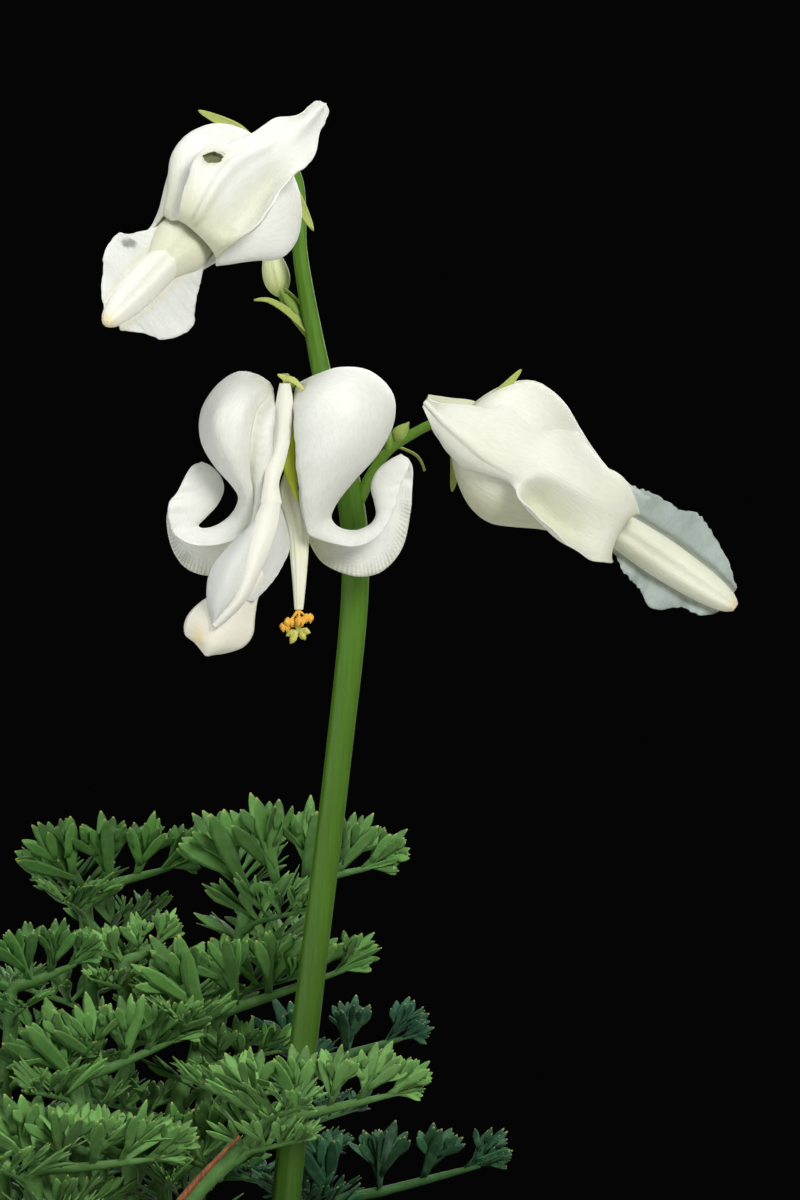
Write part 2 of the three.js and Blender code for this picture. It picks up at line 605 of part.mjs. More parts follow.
function crest(frame, sign, scale) {
  const teeth = 14;
  const line = smoothRows(crestLine, teeth);
  const outline = line.map(([u, w], k) => new THREE.Vector2(u, (w - 0.35 * (k % 2)) * scale));
  outline.push(new THREE.Vector2(31, 0.3), new THREE.Vector2(15.8, 0.3));
  outline.reverse();
  const place = (u, w) => inFrame(frame, -PETAL_THICKNESS / 2, u, sign * w);
  const lift = frame.out.clone().multiplyScalar(PETAL_THICKNESS);
  return plate(outline, place, lift);
}

function makeInnerPetals(name, frame) {
  const boat = loft(innerBoat.map((row) => boatRing(frame, row)));
  const fused = fuse([boat, crest(frame, 1, 1), crest(frame, -1, 0.92)]);
  return named(name, geometryOf(fused), white);
}

// Sepals: a pair of small pointed scales at the base of each bloom, in its w direction.
function sepal(frame, sign, reach) {
  const outline = [
    [0.2, -0.6],
    [0.5 * reach, -1.0],
    [reach, 0],
    [0.5 * reach, 1.0],
    [0.2, 0.6],
  ].map(([x, y]) => new THREE.Vector2(x, y));
  const place = (x, y) => inFrame(frame, 0.5 * y, -1.3 + 0.03 * x * x + 0.5 * y, sign * x);
  const lift = frame.along.clone().multiplyScalar(-PETAL_THICKNESS);
  return plate(outline, place, lift);
}

// The swollen end of a bloom's stalk, which the petals sit on.
function receptacle(frame, radius) {
  const start = inFrame(frame, 0, -1.7, 0);
  const end = inFrame(frame, 0, -0.35, 0);
  return stalk(
    [
      [...start, 0.7 * radius],
      [...start.clone().lerp(end, 0.6), radius],
      [...end, 0.9 * radius],
    ],
    6,
  );
}

// Where the blooms hang
const topBloom = bloomFrame(
  vec(3.7, -3, 267.9),
  vec(0.499, -0.69, 0.525).normalize(),
  vec(-0.475, -0.724, -0.5).normalize(),
  0.93,
);
const rightBloom = bloomFrame(
  vec(25.5, -1, 242),
  vec(0, -1, 0),
  vec(0.832, 0, -0.555).normalize(),
  1,
);
const centralBloom = bloomFrame(vec(7.1, -10, 247), vec(1, 0, 0), vec(0, 0, -1), 1);

// A point of the central bloom, given by its way right of, in front of and below the base.
function atCentre(right, front, below) {
  return centralBloom.base.clone().add(vec(right, -front, -below));
}

// A flattened, tapering body along rows of [right, front, below, half width, half depth].
function slimBody(rows, count, sides) {
  const rings = smoothRows(rows, count).map(([right, front, below, halfWidth, halfDepth]) => {
    const ring = [];
    for (let j = 0; j < sides; j++) {
      const angle = (2 * Math.PI * j) / sides;
      const offset = vec(halfWidth * Math.cos(angle), halfDepth * Math.sin(angle), 0);
      ring.push(atCentre(right, front, below).add(offset));
    }
    return ring;
  });
  return loft(rings);
}

// The central bloom's inner petals have slipped out and hang to the lower left.
function makeSlippedInnerPetals() {
  const rows = [
    [-0.1, 2.2, 1.0, 0.5, 0.35],
    [-0.3, 3.2, 5.0, 0.7, 0.35],
    [-0.4, 3.7, 8.6, 0.75, 0.35],
    [-0.6, 4.8, 11.4, 0.75, 0.4],
    [-1.5, 5.9, 14.0, 1.1, 0.5],
    [-3.4, 6.3, 17.8, 2.2, 0.8],
    [-4.6, 6.2, 20.6, 2.3, 1.1],
    [-6.0, 6.0, 23.2, 3.1, 1.5],
    [-6.8, 5.8, 25.4, 3.0, 1.6],
    [-7.7, 5.6, 27.2, 0.7, 0.5],
  ];
  return named("central_bloom_inner_petals", slimBody(rows, 14, 10), white);
}

function makeOvary() {
  const rows = [
    [0.3, 1.6, 1.4, 0.25, 0.25],
    [0.55, 1.9, 4.0, 0.5, 0.5],
    [0.6, 1.9, 7.2, 0.7, 0.6],
    [0.7, 1.5, 9.2, 0.6, 0.6],
    [0.9, 1.0, 10.2, 0.3, 0.3],
  ];
  return named("central_bloom_ovary", slimBody(rows, 7, 8), ovaryGreen);
}

function makeStamenColumn() {
  const rows = [
    [0.8, 0.6, 10.5, 1.0, 0.9],
    [1.1, 0.4, 13.0, 1.15, 1.0],
    [1.35, 0.3, 15.6, 1.0, 0.9],
    [1.4, 0.2, 19.5, 0.7, 0.6],
    [1.3, 0.2, 22.8, 0.5, 0.45],
  ];
  return named("central_bloom_stamen_column", slimBody(rows, 8, 8), cream);
}

function makeAnthers() {
  const hub = atCentre(1.3, 0.2, 23.2);
  const lobes = [
    [-1.0, 0.4, 24.2],
    [0.2, -0.4, 24.3],
    [2.4, 0.5, 23.5],
    [0.9, 1.2, 24.2],
    [1.9, -0.8, 24.1],
  ];
  const grains = lobes.map(([x, y, z]) => {
    const far = atCentre(x + 0.5, y, z);
    return egg(hub, far.lerp(hub, -0.35), 0.42, 4, 3);
  });
  return named("central_bloom_anthers", geometryOf(fuse(grains)), antherOrange);
}

function makeStigma() {
  const hub = atCentre(1.3, 0.1, 24.7);
  const horns = [
    [-0.1, 0.3, 25.6],
    [0.6, 0.3, 26.2],
    [2.4, 0.2, 25.3],
    [2.0, 0.4, 26.0],
  ];
  const spurs = horns.map(([x, y, z]) => egg(hub, atCentre(x, y, z), 0.4, 4, 3));
  return named("central_bloom_stigma", geometryOf(fuse(spurs)), stigmaYellow);
}

// Stem

const scapeRoot = [3.4, -2.6];
const scapeRows = [
  [4.4, -2.0, 130, 1.5],
  [6.8, -0.8, 162, 1.45],
  [9.5, 0, 186, 1.35],
  [12.3, 0, 209, 1.3],
  [14, 0, 226, 1.35],
  [13.4, 0, 236, 1.3],
  [10.6, 0, 248, 0.95],
  [8.6, 0, 259, 0.75],
  [8.5, 0.6, 264, STEM_TOP_RADIUS],
  [8.0, 0.8, 267.4, STEM_TOP_RADIUS],
  [6.4, -0.2, 269.4, 0.6],
  [4.4, -2.0, 268.7, 0.6],
];

function makeFlowerStem() {
  const toRight = [
    [13.4, 0, 233, 0.7],
    [15.6, 0, 237.4, 0.6],
    [17.2, 0, 239.8, 0.5],
    [19.4, 0, 241.4, 0.5],
    [22, -0.4, 242.7, 0.5],
    [24.4, -1, 242.8, 0.7],
  ];
  const toCentre = [
    [10.9, 0, 247, 0.6],
    [9.6, -3.4, 248.6, 0.45],
    [8.2, -7.4, 248.6, 0.45],
    [7.1, -10, 247.6, 0.7],
  ];
  const budStalk = [
    [9.6, 0, 251.4, 0.5],
    [8, 1.4, 253.2, 0.4],
    [6.7, 2.7, 255.6, 0.5],
  ];
  const bract = [
    [9.4, 0.2, 252.6, 0.45],
    [6.8, 0.6, 253.6, 0.4],
    [4.1, 0.4, 255, 0.15],
  ];
  const clusterBract = [
    [18.2, 0.2, 240.4, 0.35],
    [20.2, 0.4, 239.4, 0.25],
    [21, 0.4, 237.9, 0.12],
  ];
  const sepals = [
    sepal(topBloom, 1, 8.6),
    sepal(topBloom, -1, 7.9),
    sepal(rightBloom, 1, 7.9),
    sepal(rightBloom, -1, 6.3),
    sepal(centralBloom, 1, 3.4),
    sepal(centralBloom, -1, 3.4),
  ];
  const fused = fuse([
    standingStalk(scapeRoot, STEM_BASE_RADIUS, scapeRows, 15, 6),
    stalk(smoothRows(toRight, 6), 5),
    stalk(smoothRows(toCentre, 5), 5),
    stalk(budStalk, 5),
    stalk(bract, 4),
    stalk(clusterBract, 4),
    egg(vec(8.2, 0.8, 252.6), vec(6.2, 0.9, 256), 0.55, 5, 3),
    egg(vec(17.3, 0, 239.6), vec(19.3, -0.2, 242.8), 0.85, 5, 3),
    egg(vec(17.2, 0, 239.4), vec(17.7, -0.6, 241.9), 0.5, 4, 3),
    receptacle(topBloom, 0.9),
    receptacle(rightBloom, 0.9),
    receptacle(centralBloom, 1.1),
    ...sepals,
  ]);
  return named("flower_stem", geometryOf(fused), stemGreen);
}

function makeWhiteBud() {
  return named("white_bud", egg(vec(6.6, 2.8, 256), vec(5.0, 2.8, 259.6), 1.05, 8, 6), white);
}

// Leaves
// A leaf is a stalk whose end carries one thin arched blade, cut to its rib into rows of
// three-fingered lobes. The two rows are folded up from the rib.

// The outline of the left half, with the rib along x. Lobes start turned back by spread
// degrees at the foot and shorten towards the tip.
function leafHalfOutline(length, { lobes, spread, longest, shortest }, random) {
  const edge = [new THREE.Vector2(0, 0)];
  for (let i = 0; i < lobes; i++) {
    const t = i / (lobes - 0.4);
    const foot = new THREE.Vector2(0.9 * length * t, 0.35);
    const angle = radians(mix(spread, 20, t) + 4 * (random() - 0.5));
    const reach = mix(longest, shortest, t) * mix(0.94, 1.06, random());
    const fingerHalf = 0.07 * reach;
    const ray = (from, turn, far, side) => {
      const ahead = new THREE.Vector2(Math.cos(angle + turn), Math.sin(angle + turn));
      const over = new THREE.Vector2(-ahead.y, ahead.x);
      return from.clone().addScaledVector(ahead, far).addScaledVector(over, side);
    };
    const forkPoint = ray(foot, 0, 0.42 * reach, 0);
    const notch = (side) => ray(foot, 0, 0.52 * reach, side * 0.5 * fingerHalf);
    const finger = (from, turn, far) => [
      ray(from, turn, far, fingerHalf),
      ray(from, turn, far, -fingerHalf),
    ];
    edge.push(ray(foot, 0, 0, 0.45));
    edge.push(...finger(forkPoint, radians(24), 0.37 * reach), notch(1));
    edge.push(...finger(foot, 0, reach), notch(-1));
    edge.push(...finger(forkPoint, radians(-24), 0.35 * reach));
  }
  edge.push(new THREE.Vector2(0.93 * length, 0.35));
  edge.push(new THREE.Vector2(length, 0.4));
  edge.push(new THREE.Vector2(length, 0));
  return edge;
}

function leafBlade(from, to, above, shape, random) {
  const ahead = to.clone().sub(from);
  const length = ahead.length();
  ahead.normalize();
  const across = ahead.clone().cross(above).normalize();
  const up = across.clone().cross(ahead);
  const fold = radians(shape.fold);
  const place = (x, y) =>
    from
      .clone()
      .addScaledVector(ahead, x)
      .addScaledVector(across, y * Math.cos(fold))
      .addScaledVector(up, Math.abs(y) * Math.sin(fold) - 0.5 * LEAF_THICKNESS)
      .addScaledVector(up, LEAF_ARCH * y * y / length);
  const thick = LEAF_THICKNESS / Math.max(0.5, Math.cos(fold));
  const outline = leafHalfOutline(length, shape, random);
  return foldedPlate(outline, place, up.clone().multiplyScalar(thick));
}

function makeLeaf(name, { root, way, from, to, above, shape }, random) {
  const rows = [
    ...way.map((point) => [...point, 0.85]),
    [...from, 0.7],
    [...to.map((value, k) => mix(from[k], value, RIB_SHARE)), LEAF_RIB_RADIUS],
  ];
  const leafStalk = standingStalk(root, LEAF_STALK_RADIUS, rows, rows.length + 2, 5);
  const blade = leafBlade(vec(...from), vec(...to), vec(...above), shape, random);
  const fused = fuse([leafStalk, blade]);
  return named(name, geometryOf(fused), leafGreen);
}

const UPRIGHT = [0, 0, 1];

// The leaves that the photograph shows.
const seenLeaves = {
  leaf_back_left: {
    root: [-9, 11],
    way: [[-12, 20, 168]],
    from: [-13.6, 27, 194.4],
    to: [-3.2, 27, 197.2],
    above: UPRIGHT,
    shape: { lobes: 4, spread: 112, longest: 10.4, shortest: 5, fold: 60 },
  },
  leaf_back_middle: {
    root: [-1, 9],
    way: [[-2, 14, 165]],
    from: [3.2, 17, 194.7],
    to: [17.8, 17, 197.8],
    above: UPRIGHT,
    shape: { lobes: 5, spread: 108, longest: 12, shortest: 5.2, fold: 62 },
  },
  leaf_centre: {
    root: [-2.6, 4.6],
    way: [[-6, 8, 160]],
    from: [-1.3, 8.6, 182.4],
    to: [15.6, 8.6, 188.4],
    above: UPRIGHT,
    shape: { lobes: 5, spread: 100, longest: 10.6, shortest: 5, fold: 60 },
  },
  leaf_young: {
    root: [-6.4, 12],
    way: [[-8.8, 17, 165]],
    from: [-9.4, 18, 187.4],
    to: [-4.8, 18, 190.4],
    above: UPRIGHT,
    shape: { lobes: 3, spread: 96, longest: 5.4, shortest: 3.6, fold: 56 },
  },
  leaf_left: {
    root: [-12, 3],
    way: [[-21, 5, 160]],
    from: [-20.5, 4, 185.6],
    to: [-12.8, 4, 188.8],
    above: UPRIGHT,
    shape: { lobes: 4, spread: 112, longest: 8.6, shortest: 4.6, fold: 55 },
  },
  leaf_front_left: {
    root: [-11, -5.4],
    way: [[-19, -9, 148]],
    from: [-17.6, -10, 168.4],
    to: [-3.6, -10.6, 170],
    above: UPRIGHT,
    shape: { lobes: 5, spread: 106, longest: 10.4, shortest: 5.6, fold: 52 },
  },
  leaf_middle_left: {
    root: [-9, -0.6],
    way: [[-13, -1, 155]],
    from: [-13.8, 1.6, 176.6],
    to: [-2.2, 1.4, 181.6],
    above: UPRIGHT,
    shape: { lobes: 5, spread: 104, longest: 10.2, shortest: 5, fold: 58 },
  },
  leaf_middle_front: {
    root: [-5.2, -1.6],
    way: [[-5.4, -1.6, 150]],
    from: [-5.0, -0.8, 166.8],
    to: [3.2, -1.2, 172.4],
    above: UPRIGHT,
    shape: { lobes: 4, spread: 92, longest: 8.6, shortest: 5, fold: 60 },
  },
  leaf_front_right: {
    root: [-5.4, -6.4],
    way: [
      [-8.6, -10.4, 140],
      [-4.4, -9.6, 162],
    ],
    from: [5.6, -8.4, 173.3],
    to: [20.4, -8.4, 176.6],
    above: UPRIGHT,
    shape: { lobes: 5, spread: 106, longest: 9.6, shortest: 5.2, fold: 58 },
  },
  leaf_right: {
    root: [5, 7.6],
    way: [[9, 16, 140]],
    from: [12, 20, 163],
    to: [29.4, 20, 167.6],
    above: UPRIGHT,
    shape: { lobes: 4, spread: 96, longest: 10, shortest: 5.4, fold: 58 },
  },
  leaf_far_back: {
    root: [1.6, 14],
    way: [[6, 28, 150]],
    from: [9, 35, 176],
    to: [20.6, 35, 179.4],
    above: UPRIGHT,
    shape: { lobes: 3, spread: 104, longest: 8.2, shortest: 5, fold: 58 },
  },
};

// The leaves round the clump's sides and back stand on rings: compass direction of the
// leaf, the distance of its blade's foot, and its height.
const CLUMP = vec(-4, 2, 0);
const ringLeaves = [
  [10, 32, 150],
  [50, 40, 140],
  [112, 38, 162],
  [158, 36, 156],
  [206, 34, 146],
  [322, 32, 142],
  [34, 42, 118],
  [92, 44, 122],
  [182, 44, 116],
  [240, 42, 112],
  [292, 42, 114],
];

function ringLeaf([compass, distance, height]) {
  const out = vec(Math.cos(radians(compass)), Math.sin(radians(compass)), 0);
  const at = (reach, rise) => CLUMP.clone().addScaledVector(out, reach).setZ(rise).toArray();
  return {
    root: at(0.36 * distance, 0),
    way: [at(0.66 * distance, mix(SOIL_TOP, height, 0.64))],
    from: at(distance, height),
    to: at(distance + 29, height + 7),
    above: UPRIGHT,
    shape: { lobes: 4, spread: 84, longest: 19, shortest: 9, fold: 26 },
  };
}

function makeDriedStalk() {
  const rows = [
    [-12, -13, 130, 0.55],
    [-9, -13.6, 156, 0.5],
    [-3.6, -13.2, 165.4, 0.5],
    [2.6, -12.6, 172.2, 0.35],
  ];
  const dried = standingStalk([-9.6, -9.4], 0.6, rows, 9, 5);
  return named("dried_leaf_stalk", dried, driedBrown);
}

const plant = new THREE.Group();
plant.add(makePot());
plant.add(makeFlowerStem());
plant.add(makeOuterPetal("top_bloom_near_petal", upturnedPetal, topBloom));
plant.add(makeOuterPetal("top_bloom_far_petal", tuckedPetal, turnedAbout(topBloom)));
plant.add(makeInnerPetals("top_bloom_inner_petals", topBloom));
plant.add(makeOuterPetal("right_bloom_near_petal", spoonPetal, rightBloom));
plant.add(makeOuterPetal("right_bloom_far_petal", mirrored(bentBackPetal), turnedAbout(rightBloom)));
plant.add(makeInnerPetals("right_bloom_inner_petals", rightBloom));
plant.add(makeOuterPetal("central_bloom_right_petal", curledRightPetal, centralBloom));
plant.add(makeOuterPetal("central_bloom_left_petal", curledLeftPetal, turnedAbout(centralBloom)));
plant.add(makeSlippedInnerPetals());
plant.add(makeOvary());
plant.add(makeStamenColumn());
plant.add(makeAnthers());
plant.add(makeStigma());
plant.add(makeWhiteBud());

const random = seeded(9);
for (const [name, leaf] of Object.entries(seenLeaves)) {
  plant.add(makeLeaf(name, leaf, random));
}
ringLeaves.forEach((place, k) => {
  plant.add(makeLeaf(`leaf_ring_${k + 1}`, ringLeaf(place), random));
});
plant.add(makeDriedStalk());
plant.add(makeSoil());

export default plant;
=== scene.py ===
# %% [markdown]
# # A potted fringed bleeding heart
# The plant is a clump of finely cut blue-green leaves in a clay pot, with one leaning stem
# that carries three white heart-shaped blooms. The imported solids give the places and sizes;
# this file dresses each of them in thin petals, fine fingers of leaf, soil and fired clay.

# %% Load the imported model
import math

import bpy
import numpy as np
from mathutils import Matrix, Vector


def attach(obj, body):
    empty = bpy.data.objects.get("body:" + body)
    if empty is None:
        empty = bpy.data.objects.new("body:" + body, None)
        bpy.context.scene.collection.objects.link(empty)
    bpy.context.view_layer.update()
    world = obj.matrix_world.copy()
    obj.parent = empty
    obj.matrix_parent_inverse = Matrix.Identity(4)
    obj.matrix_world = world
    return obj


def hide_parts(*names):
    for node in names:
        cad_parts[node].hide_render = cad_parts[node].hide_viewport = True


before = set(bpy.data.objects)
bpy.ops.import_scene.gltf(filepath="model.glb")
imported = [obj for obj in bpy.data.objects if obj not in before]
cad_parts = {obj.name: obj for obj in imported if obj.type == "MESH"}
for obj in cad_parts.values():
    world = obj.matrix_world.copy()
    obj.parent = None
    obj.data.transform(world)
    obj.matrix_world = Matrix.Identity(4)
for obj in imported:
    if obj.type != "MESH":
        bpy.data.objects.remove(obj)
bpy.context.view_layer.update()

print("packed nodes:", len(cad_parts))

# %% [markdown]
# Sizes are easier to think about in millimetres, and Blender's own unit here is the metre.
# So every shape below is worked out in millimetres and scaled once, when its mesh is made.
# Numbers that vary from leaf to leaf come from seeded streams, so each run gives the same plant.

# %% Units, vectors and smooth rows
MM = 0.001


def vec(x, y, z):
    return np.array([x, y, z], float)


def unit(v):
    return v / np.maximum(np.linalg.norm(v, axis=-1, keepdims=True), 1e-9)


def mix(a, b, t):
    return a + (b - a) * t


def smooth_rows(rows, count):
    """A smooth curve through rows of numbers, all columns alike, at count even places."""
    rows = np.array(rows, float)
    last = len(rows) - 1
    place = np.linspace(0, last, count)
    i = np.minimum(place.astype(int), last - 1)
    t = (place - i)[:, None]
    a, b, c, d = rows[np.maximum(i - 1, 0)], rows[i], rows[i + 1], rows[np.minimum(i + 2, last)]
    slope, next_slope, rise = (c - a) / 2, (d - b) / 2, c - b
    square = 3 * rise - 2 * slope - next_slope
    cube = slope + next_slope - 2 * rise
    return b + t * (slope + t * (square + t * cube))


def smooth_step(low, high, value):
    t = np.clip((value - low) / (high - low), 0, 1)
    return t * t * (3 - 2 * t)


# %% [markdown]
# A mesh is a list of points and a list of faces. Each point can carry extra numbers too,
# called attributes: how far along the petal it lies, how far across, or how deep its tint is.
# A material can read them, so its veins follow the petal in any view. This way was chosen
# over image textures because it needs no unwrapping and stays sharp at any size.

# %% Making a piece
def new_object(name, points, faces, finish):
    mesh = bpy.data.meshes.new(name)
    mesh.from_pydata((np.asarray(points) * MM).tolist(), [], faces)
    mesh.materials.append(finish)
    made = bpy.data.objects.new(name, mesh)
    bpy.context.scene.collection.objects.link(made)
    return made


def make_piece(name, part, finish, nodes=()):
    """part is (points, faces), with attributes where the finish reads them."""
    points, faces, *attributes = part
    piece = new_object(name, points, faces, finish)
    for label, values in (attributes[0] if attributes else {}).items():
        layer = piece.data.attributes.new(label, "FLOAT", "POINT")
        layer.data.foreach_set("value", np.asarray(values, np.float32).ravel())
    piece.data.update()
    piece.data.shade_smooth()
    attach(piece, "root")
    if nodes:
        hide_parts(*nodes)
    print(f"{name}: {len(faces)} faces")
    return piece


def merged(parts):
    """Several (points, faces, attributes) made into one."""
    points, faces, attributes, start = [], [], {}, 0
    for some_points, some_faces, some_attributes in parts:
        points.append(some_points)
        faces.extend([tuple(v + start for v in face) for face in some_faces])
        for label, values in some_attributes.items():
            attributes.setdefault(label, []).append(np.asarray(values).ravel())
        start += len(some_points)
    return np.concatenate(points), faces, {k: np.concatenate(v) for k, v in attributes.items()}


# %% [markdown]
# Two kinds of form make up nearly the whole plant. A tube is a row of rings and becomes a
# stalk, a bud or a filament. A shell is a grid of points with a front and a back, thin like
# a petal, and it thins out further towards its edges, as real petals do.

# %% Tubes and shells
def angles_round(count):
    return 2 * math.pi * np.arange(count) / count


def tube(rings):
    """Rings of points (count, sides, 3) closed by a cap at each end."""
    count, sides = rings.shape[:2]
    faces = []
    for k in range(count - 1):
        for j in range(sides):
            n = (j + 1) % sides
            faces.append((k * sides + j, k * sides + n, (k + 1) * sides + n, (k + 1) * sides + j))
    faces.append(tuple(range(sides))[::-1])
    faces.append(tuple(range((count - 1) * sides, count * sides)))
    return rings.reshape(-1, 3), faces


def stalk_rings(steps, sides, ribs=0, rib_depth=0.0):
    """Round rings round steps of [x, y, z, radius], turned as little as possible."""
    steps = np.array(steps, float)
    centres, radii = steps[:, :3], steps[:, 3]
    directions = unit(np.gradient(centres, axis=0))
    across = unit(np.cross(vec(1, 0, 0), directions[0]))
    angles = angles_round(sides)
    profile = 1 + rib_depth * np.cos(ribs * angles)
    rings = []
    for centre, direction, radius in zip(centres, directions, radii):
        across = unit(across - direction * across.dot(direction))
        other = np.cross(direction, across)
        ring = np.outer(np.cos(angles), across) + np.outer(np.sin(angles), other)
        rings.append(centre + radius * profile[:, None] * ring)
    return np.array(rings)


def stalk(steps, sides, tint=0.0, ribs=0, rib_depth=0.0):
    rings = stalk_rings(steps, sides, ribs, rib_depth)
    points, faces = tube(rings)
    along = np.repeat(np.linspace(0, 1, len(steps)), sides)
    around = np.tile(np.arange(sides) / sides, len(steps))
    return points, faces, {"along": along, "across": around, "tint": np.full(len(points), tint)}


def surface_normal(grid):
    return unit(np.cross(np.gradient(grid, axis=1), np.gradient(grid, axis=0)))


def shell(grid, thickness, attributes):
    """A closed thin sheet from a grid (rows, columns, 3). thickness may vary over the grid."""
    rows, columns = grid.shape[:2]
    offset = surface_normal(grid) * np.broadcast_to(thickness, (rows, columns))[..., None] / 2
    points = np.concatenate([(grid + offset).reshape(-1, 3), (grid - offset).reshape(-1, 3)])
    back = rows * columns
    faces = []
    for i in range(rows - 1):
        for j in range(columns - 1):
            a = i * columns + j
            b, c, d = a + 1, a + columns + 1, a + columns
            faces += [(a, b, c, d), (d + back, c + back, b + back, a + back)]
            sides = ((i == 0, a, b), (j == columns - 2, b, c), (i == rows - 2, c, d), (j == 0, d, a))
            faces += [(end, start, start + back, end + back) for is_rim, start, end in sides if is_rim]
    return points, faces, {label: np.tile(np.ravel(values), 2) for label, values in attributes.items()}


# %% [markdown]
# The stage comes first: a pale floor disc and a camera like the one that took the picture,
# far away with a long lens, a little above the blooms and looking almost level.
# Large area lights give soft studio light. The surroundings stay dark, so that the white
# petals and their thin edges stand out.

# %% Floor
FLOOR_RADIUS = 950
FLOOR_SIDES = 128
FLOOR_COLOUR = (0.62, 0.61, 0.59, 1)


def pale_floor_finish():
    finish = bpy.data.materials.new("pale_floor")
    finish.use_nodes = True
    shader = finish.node_tree.nodes["Principled BSDF"]
    shader.inputs["Base Color"].default_value = FLOOR_COLOUR
    shader.inputs["Roughness"].default_value = 0.9
    return finish


def make_floor():
    angles = angles_round(FLOOR_SIDES)
    points = FLOOR_RADIUS * np.stack([np.cos(angles), np.sin(angles), 0 * angles], axis=1)
    floor = new_object("floor", points, [tuple(range(FLOOR_SIDES))], pale_floor_finish())


make_floor()


# %% Camera
VIEW_CENTRE = vec(18.5, 0, 225)
VIEW_HEIGHT = 120
CAMERA_DISTANCE = 1500
CAMERA_ELEVATION = math.radians(2)
SENSOR = 36


def make_camera():
    data = bpy.data.cameras.new("camera")
    data.sensor_width = SENSOR
    data.lens = SENSOR * CAMERA_DISTANCE / VIEW_HEIGHT
    data.clip_start = 0.01
    data.clip_end = 20
    camera = bpy.data.objects.new("camera", data)
    back = vec(0, -math.cos(CAMERA_ELEVATION), math.sin(CAMERA_ELEVATION))
    camera.location = (VIEW_CENTRE + back * CAMERA_DISTANCE) * MM
    camera.rotation_euler = (math.pi / 2 - CAMERA_ELEVATION, 0, 0)
    bpy.context.scene.collection.objects.link(camera)
    bpy.context.scene.camera = camera
    print("lens:", round(data.lens), "mm")


make_camera()


# %% Lights
def soft_light(name, place, target, size, power, colour):
    data = bpy.data.lights.new(name, "AREA")
    data.shape = "DISK"
    data.size = size
    data.energy = power
    data.color = colour
    light = bpy.data.objects.new(name, data)
    light.location = place
    towards = Vector([t - p for t, p in zip(target, place)])
    light.rotation_euler = towards.to_track_quat("-Z", "Y").to_euler()
    bpy.context.scene.collection.objects.link(light)


# places and sizes of the lights are in metres, their power in watts
BLOOMS = (0.01, 0, 0.23)
CLUMP_MIDDLE = (0, 0, 0.14)
soft_light("key_light", (0.5, -0.85, 0.75), BLOOMS, 0.45, 12.5, (1, 0.985, 0.96))
soft_light("fill_light", (-0.9, -0.6, 0.45), BLOOMS, 0.7, 6.6, (0.97, 0.98, 0.99))
soft_light("top_light", (-0.1, 0.1, 1.15), BLOOMS, 0.7, 5.5, (1, 1, 1))
soft_light("back_light", (0.3, 0.95, 0.6), CLUMP_MIDDLE, 0.8, 6, (1, 1, 1))


def make_surroundings():
    world = bpy.data.worlds.new("surroundings")
    world.use_nodes = True
    background = world.node_tree.nodes["Background"]
    background.inputs["Color"].default_value = (0.0015, 0.0015, 0.0015, 1)
    bpy.context.scene.world = world
    bpy.context.scene.view_settings.view_transform = "Standard"


make_surroundings()


# %% [markdown]
# A procedural material is a small graph of nodes. The same few nodes come back in every
# finish of the plant: an attribute that was stored in the mesh, a noise, a ramp that turns a
# number into a colour, a bump, and a thin-leaf mix that lets some light through. They are
# wrapped in short functions, so each finish below reads like a recipe.

# %% Words for the finishes
def new_finish(name):
    finish = bpy.data.materials.new(name)
    finish.use_nodes = True
    return finish, finish.node_tree, finish.node_tree.nodes["Principled BSDF"]


def feed(tree, value, socket):
    """A socket takes the output of another node, a plain number or a colour."""
    if isinstance(value, (int, float)):
        socket.default_value = value
    elif isinstance(value, tuple):
        socket.default_value = (*value, 1)
    else:
        tree.links.new(value, socket)


def attribute(tree, label):
    node = tree.nodes.new("ShaderNodeAttribute")
    node.attribute_name = label
    return node.outputs["Fac"]


def maths(tree, operation, a, b=0.0, clamp=False):
    node = tree.nodes.new("ShaderNodeMath")
    node.operation = operation
    node.use_clamp = clamp
    feed(tree, a, node.inputs[0])
    feed(tree, b, node.inputs[1])
    return node.outputs[0]


def place_on_sheet(tree, across, along):
    """A place for a noise, from the across and along of a petal, each stretched by a number."""
    node = tree.nodes.new("ShaderNodeCombineXYZ")
    feed(tree, maths(tree, "MULTIPLY", attribute(tree, "across"), across), node.inputs[0])
    feed(tree, maths(tree, "MULTIPLY", attribute(tree, "along"), along), node.inputs[1])
    return node.outputs[0]


def place_in_mm(tree, x_scale=1.0, y_scale=1.0, z_scale=1.0):
    """The point's own place, in millimetres, squeezed or stretched along each axis."""
    where = tree.nodes.new("ShaderNodeTexCoord")
    scaled = tree.nodes.new("ShaderNodeMapping")
    scaled.inputs["Scale"].default_value = (1000 * x_scale, 1000 * y_scale, 1000 * z_scale)
    feed(tree, where.outputs["Object"], scaled.inputs["Vector"])
    return scaled.outputs["Vector"]


def noise(tree, vector, scale, detail=3.0, roughness=0.55):
    node = tree.nodes.new("ShaderNodeTexNoise")
    node.inputs["Scale"].default_value = scale
    node.inputs["Detail"].default_value = detail
    node.inputs["Roughness"].default_value = roughness
    feed(tree, vector, node.inputs["Vector"])
    return node.outputs["Fac"]


def ramp(tree, factor, *stops):
    """stops are (place from 0 to 1, colour), and one number stands for a grey."""
    node = tree.nodes.new("ShaderNodeValToRGB")
    elements = node.color_ramp.elements
    while len(elements) < len(stops):
        elements.new(0.5)
    for element, (place, colour) in zip(elements, stops):
        element.position = place
        element.color = (*colour, 1) if isinstance(colour, tuple) else (colour, colour, colour, 1)
    feed(tree, factor, node.inputs["Fac"])
    return node.outputs["Color"]


def blended(tree, factor, a, b, kind="MIX"):
    node = tree.nodes.new("ShaderNodeMix")
    node.data_type = "RGBA"
    node.blend_type = kind
    feed(tree, factor, node.inputs[0])
    feed(tree, a, node.inputs[6])
    feed(tree, b, node.inputs[7])
    return node.outputs[2]


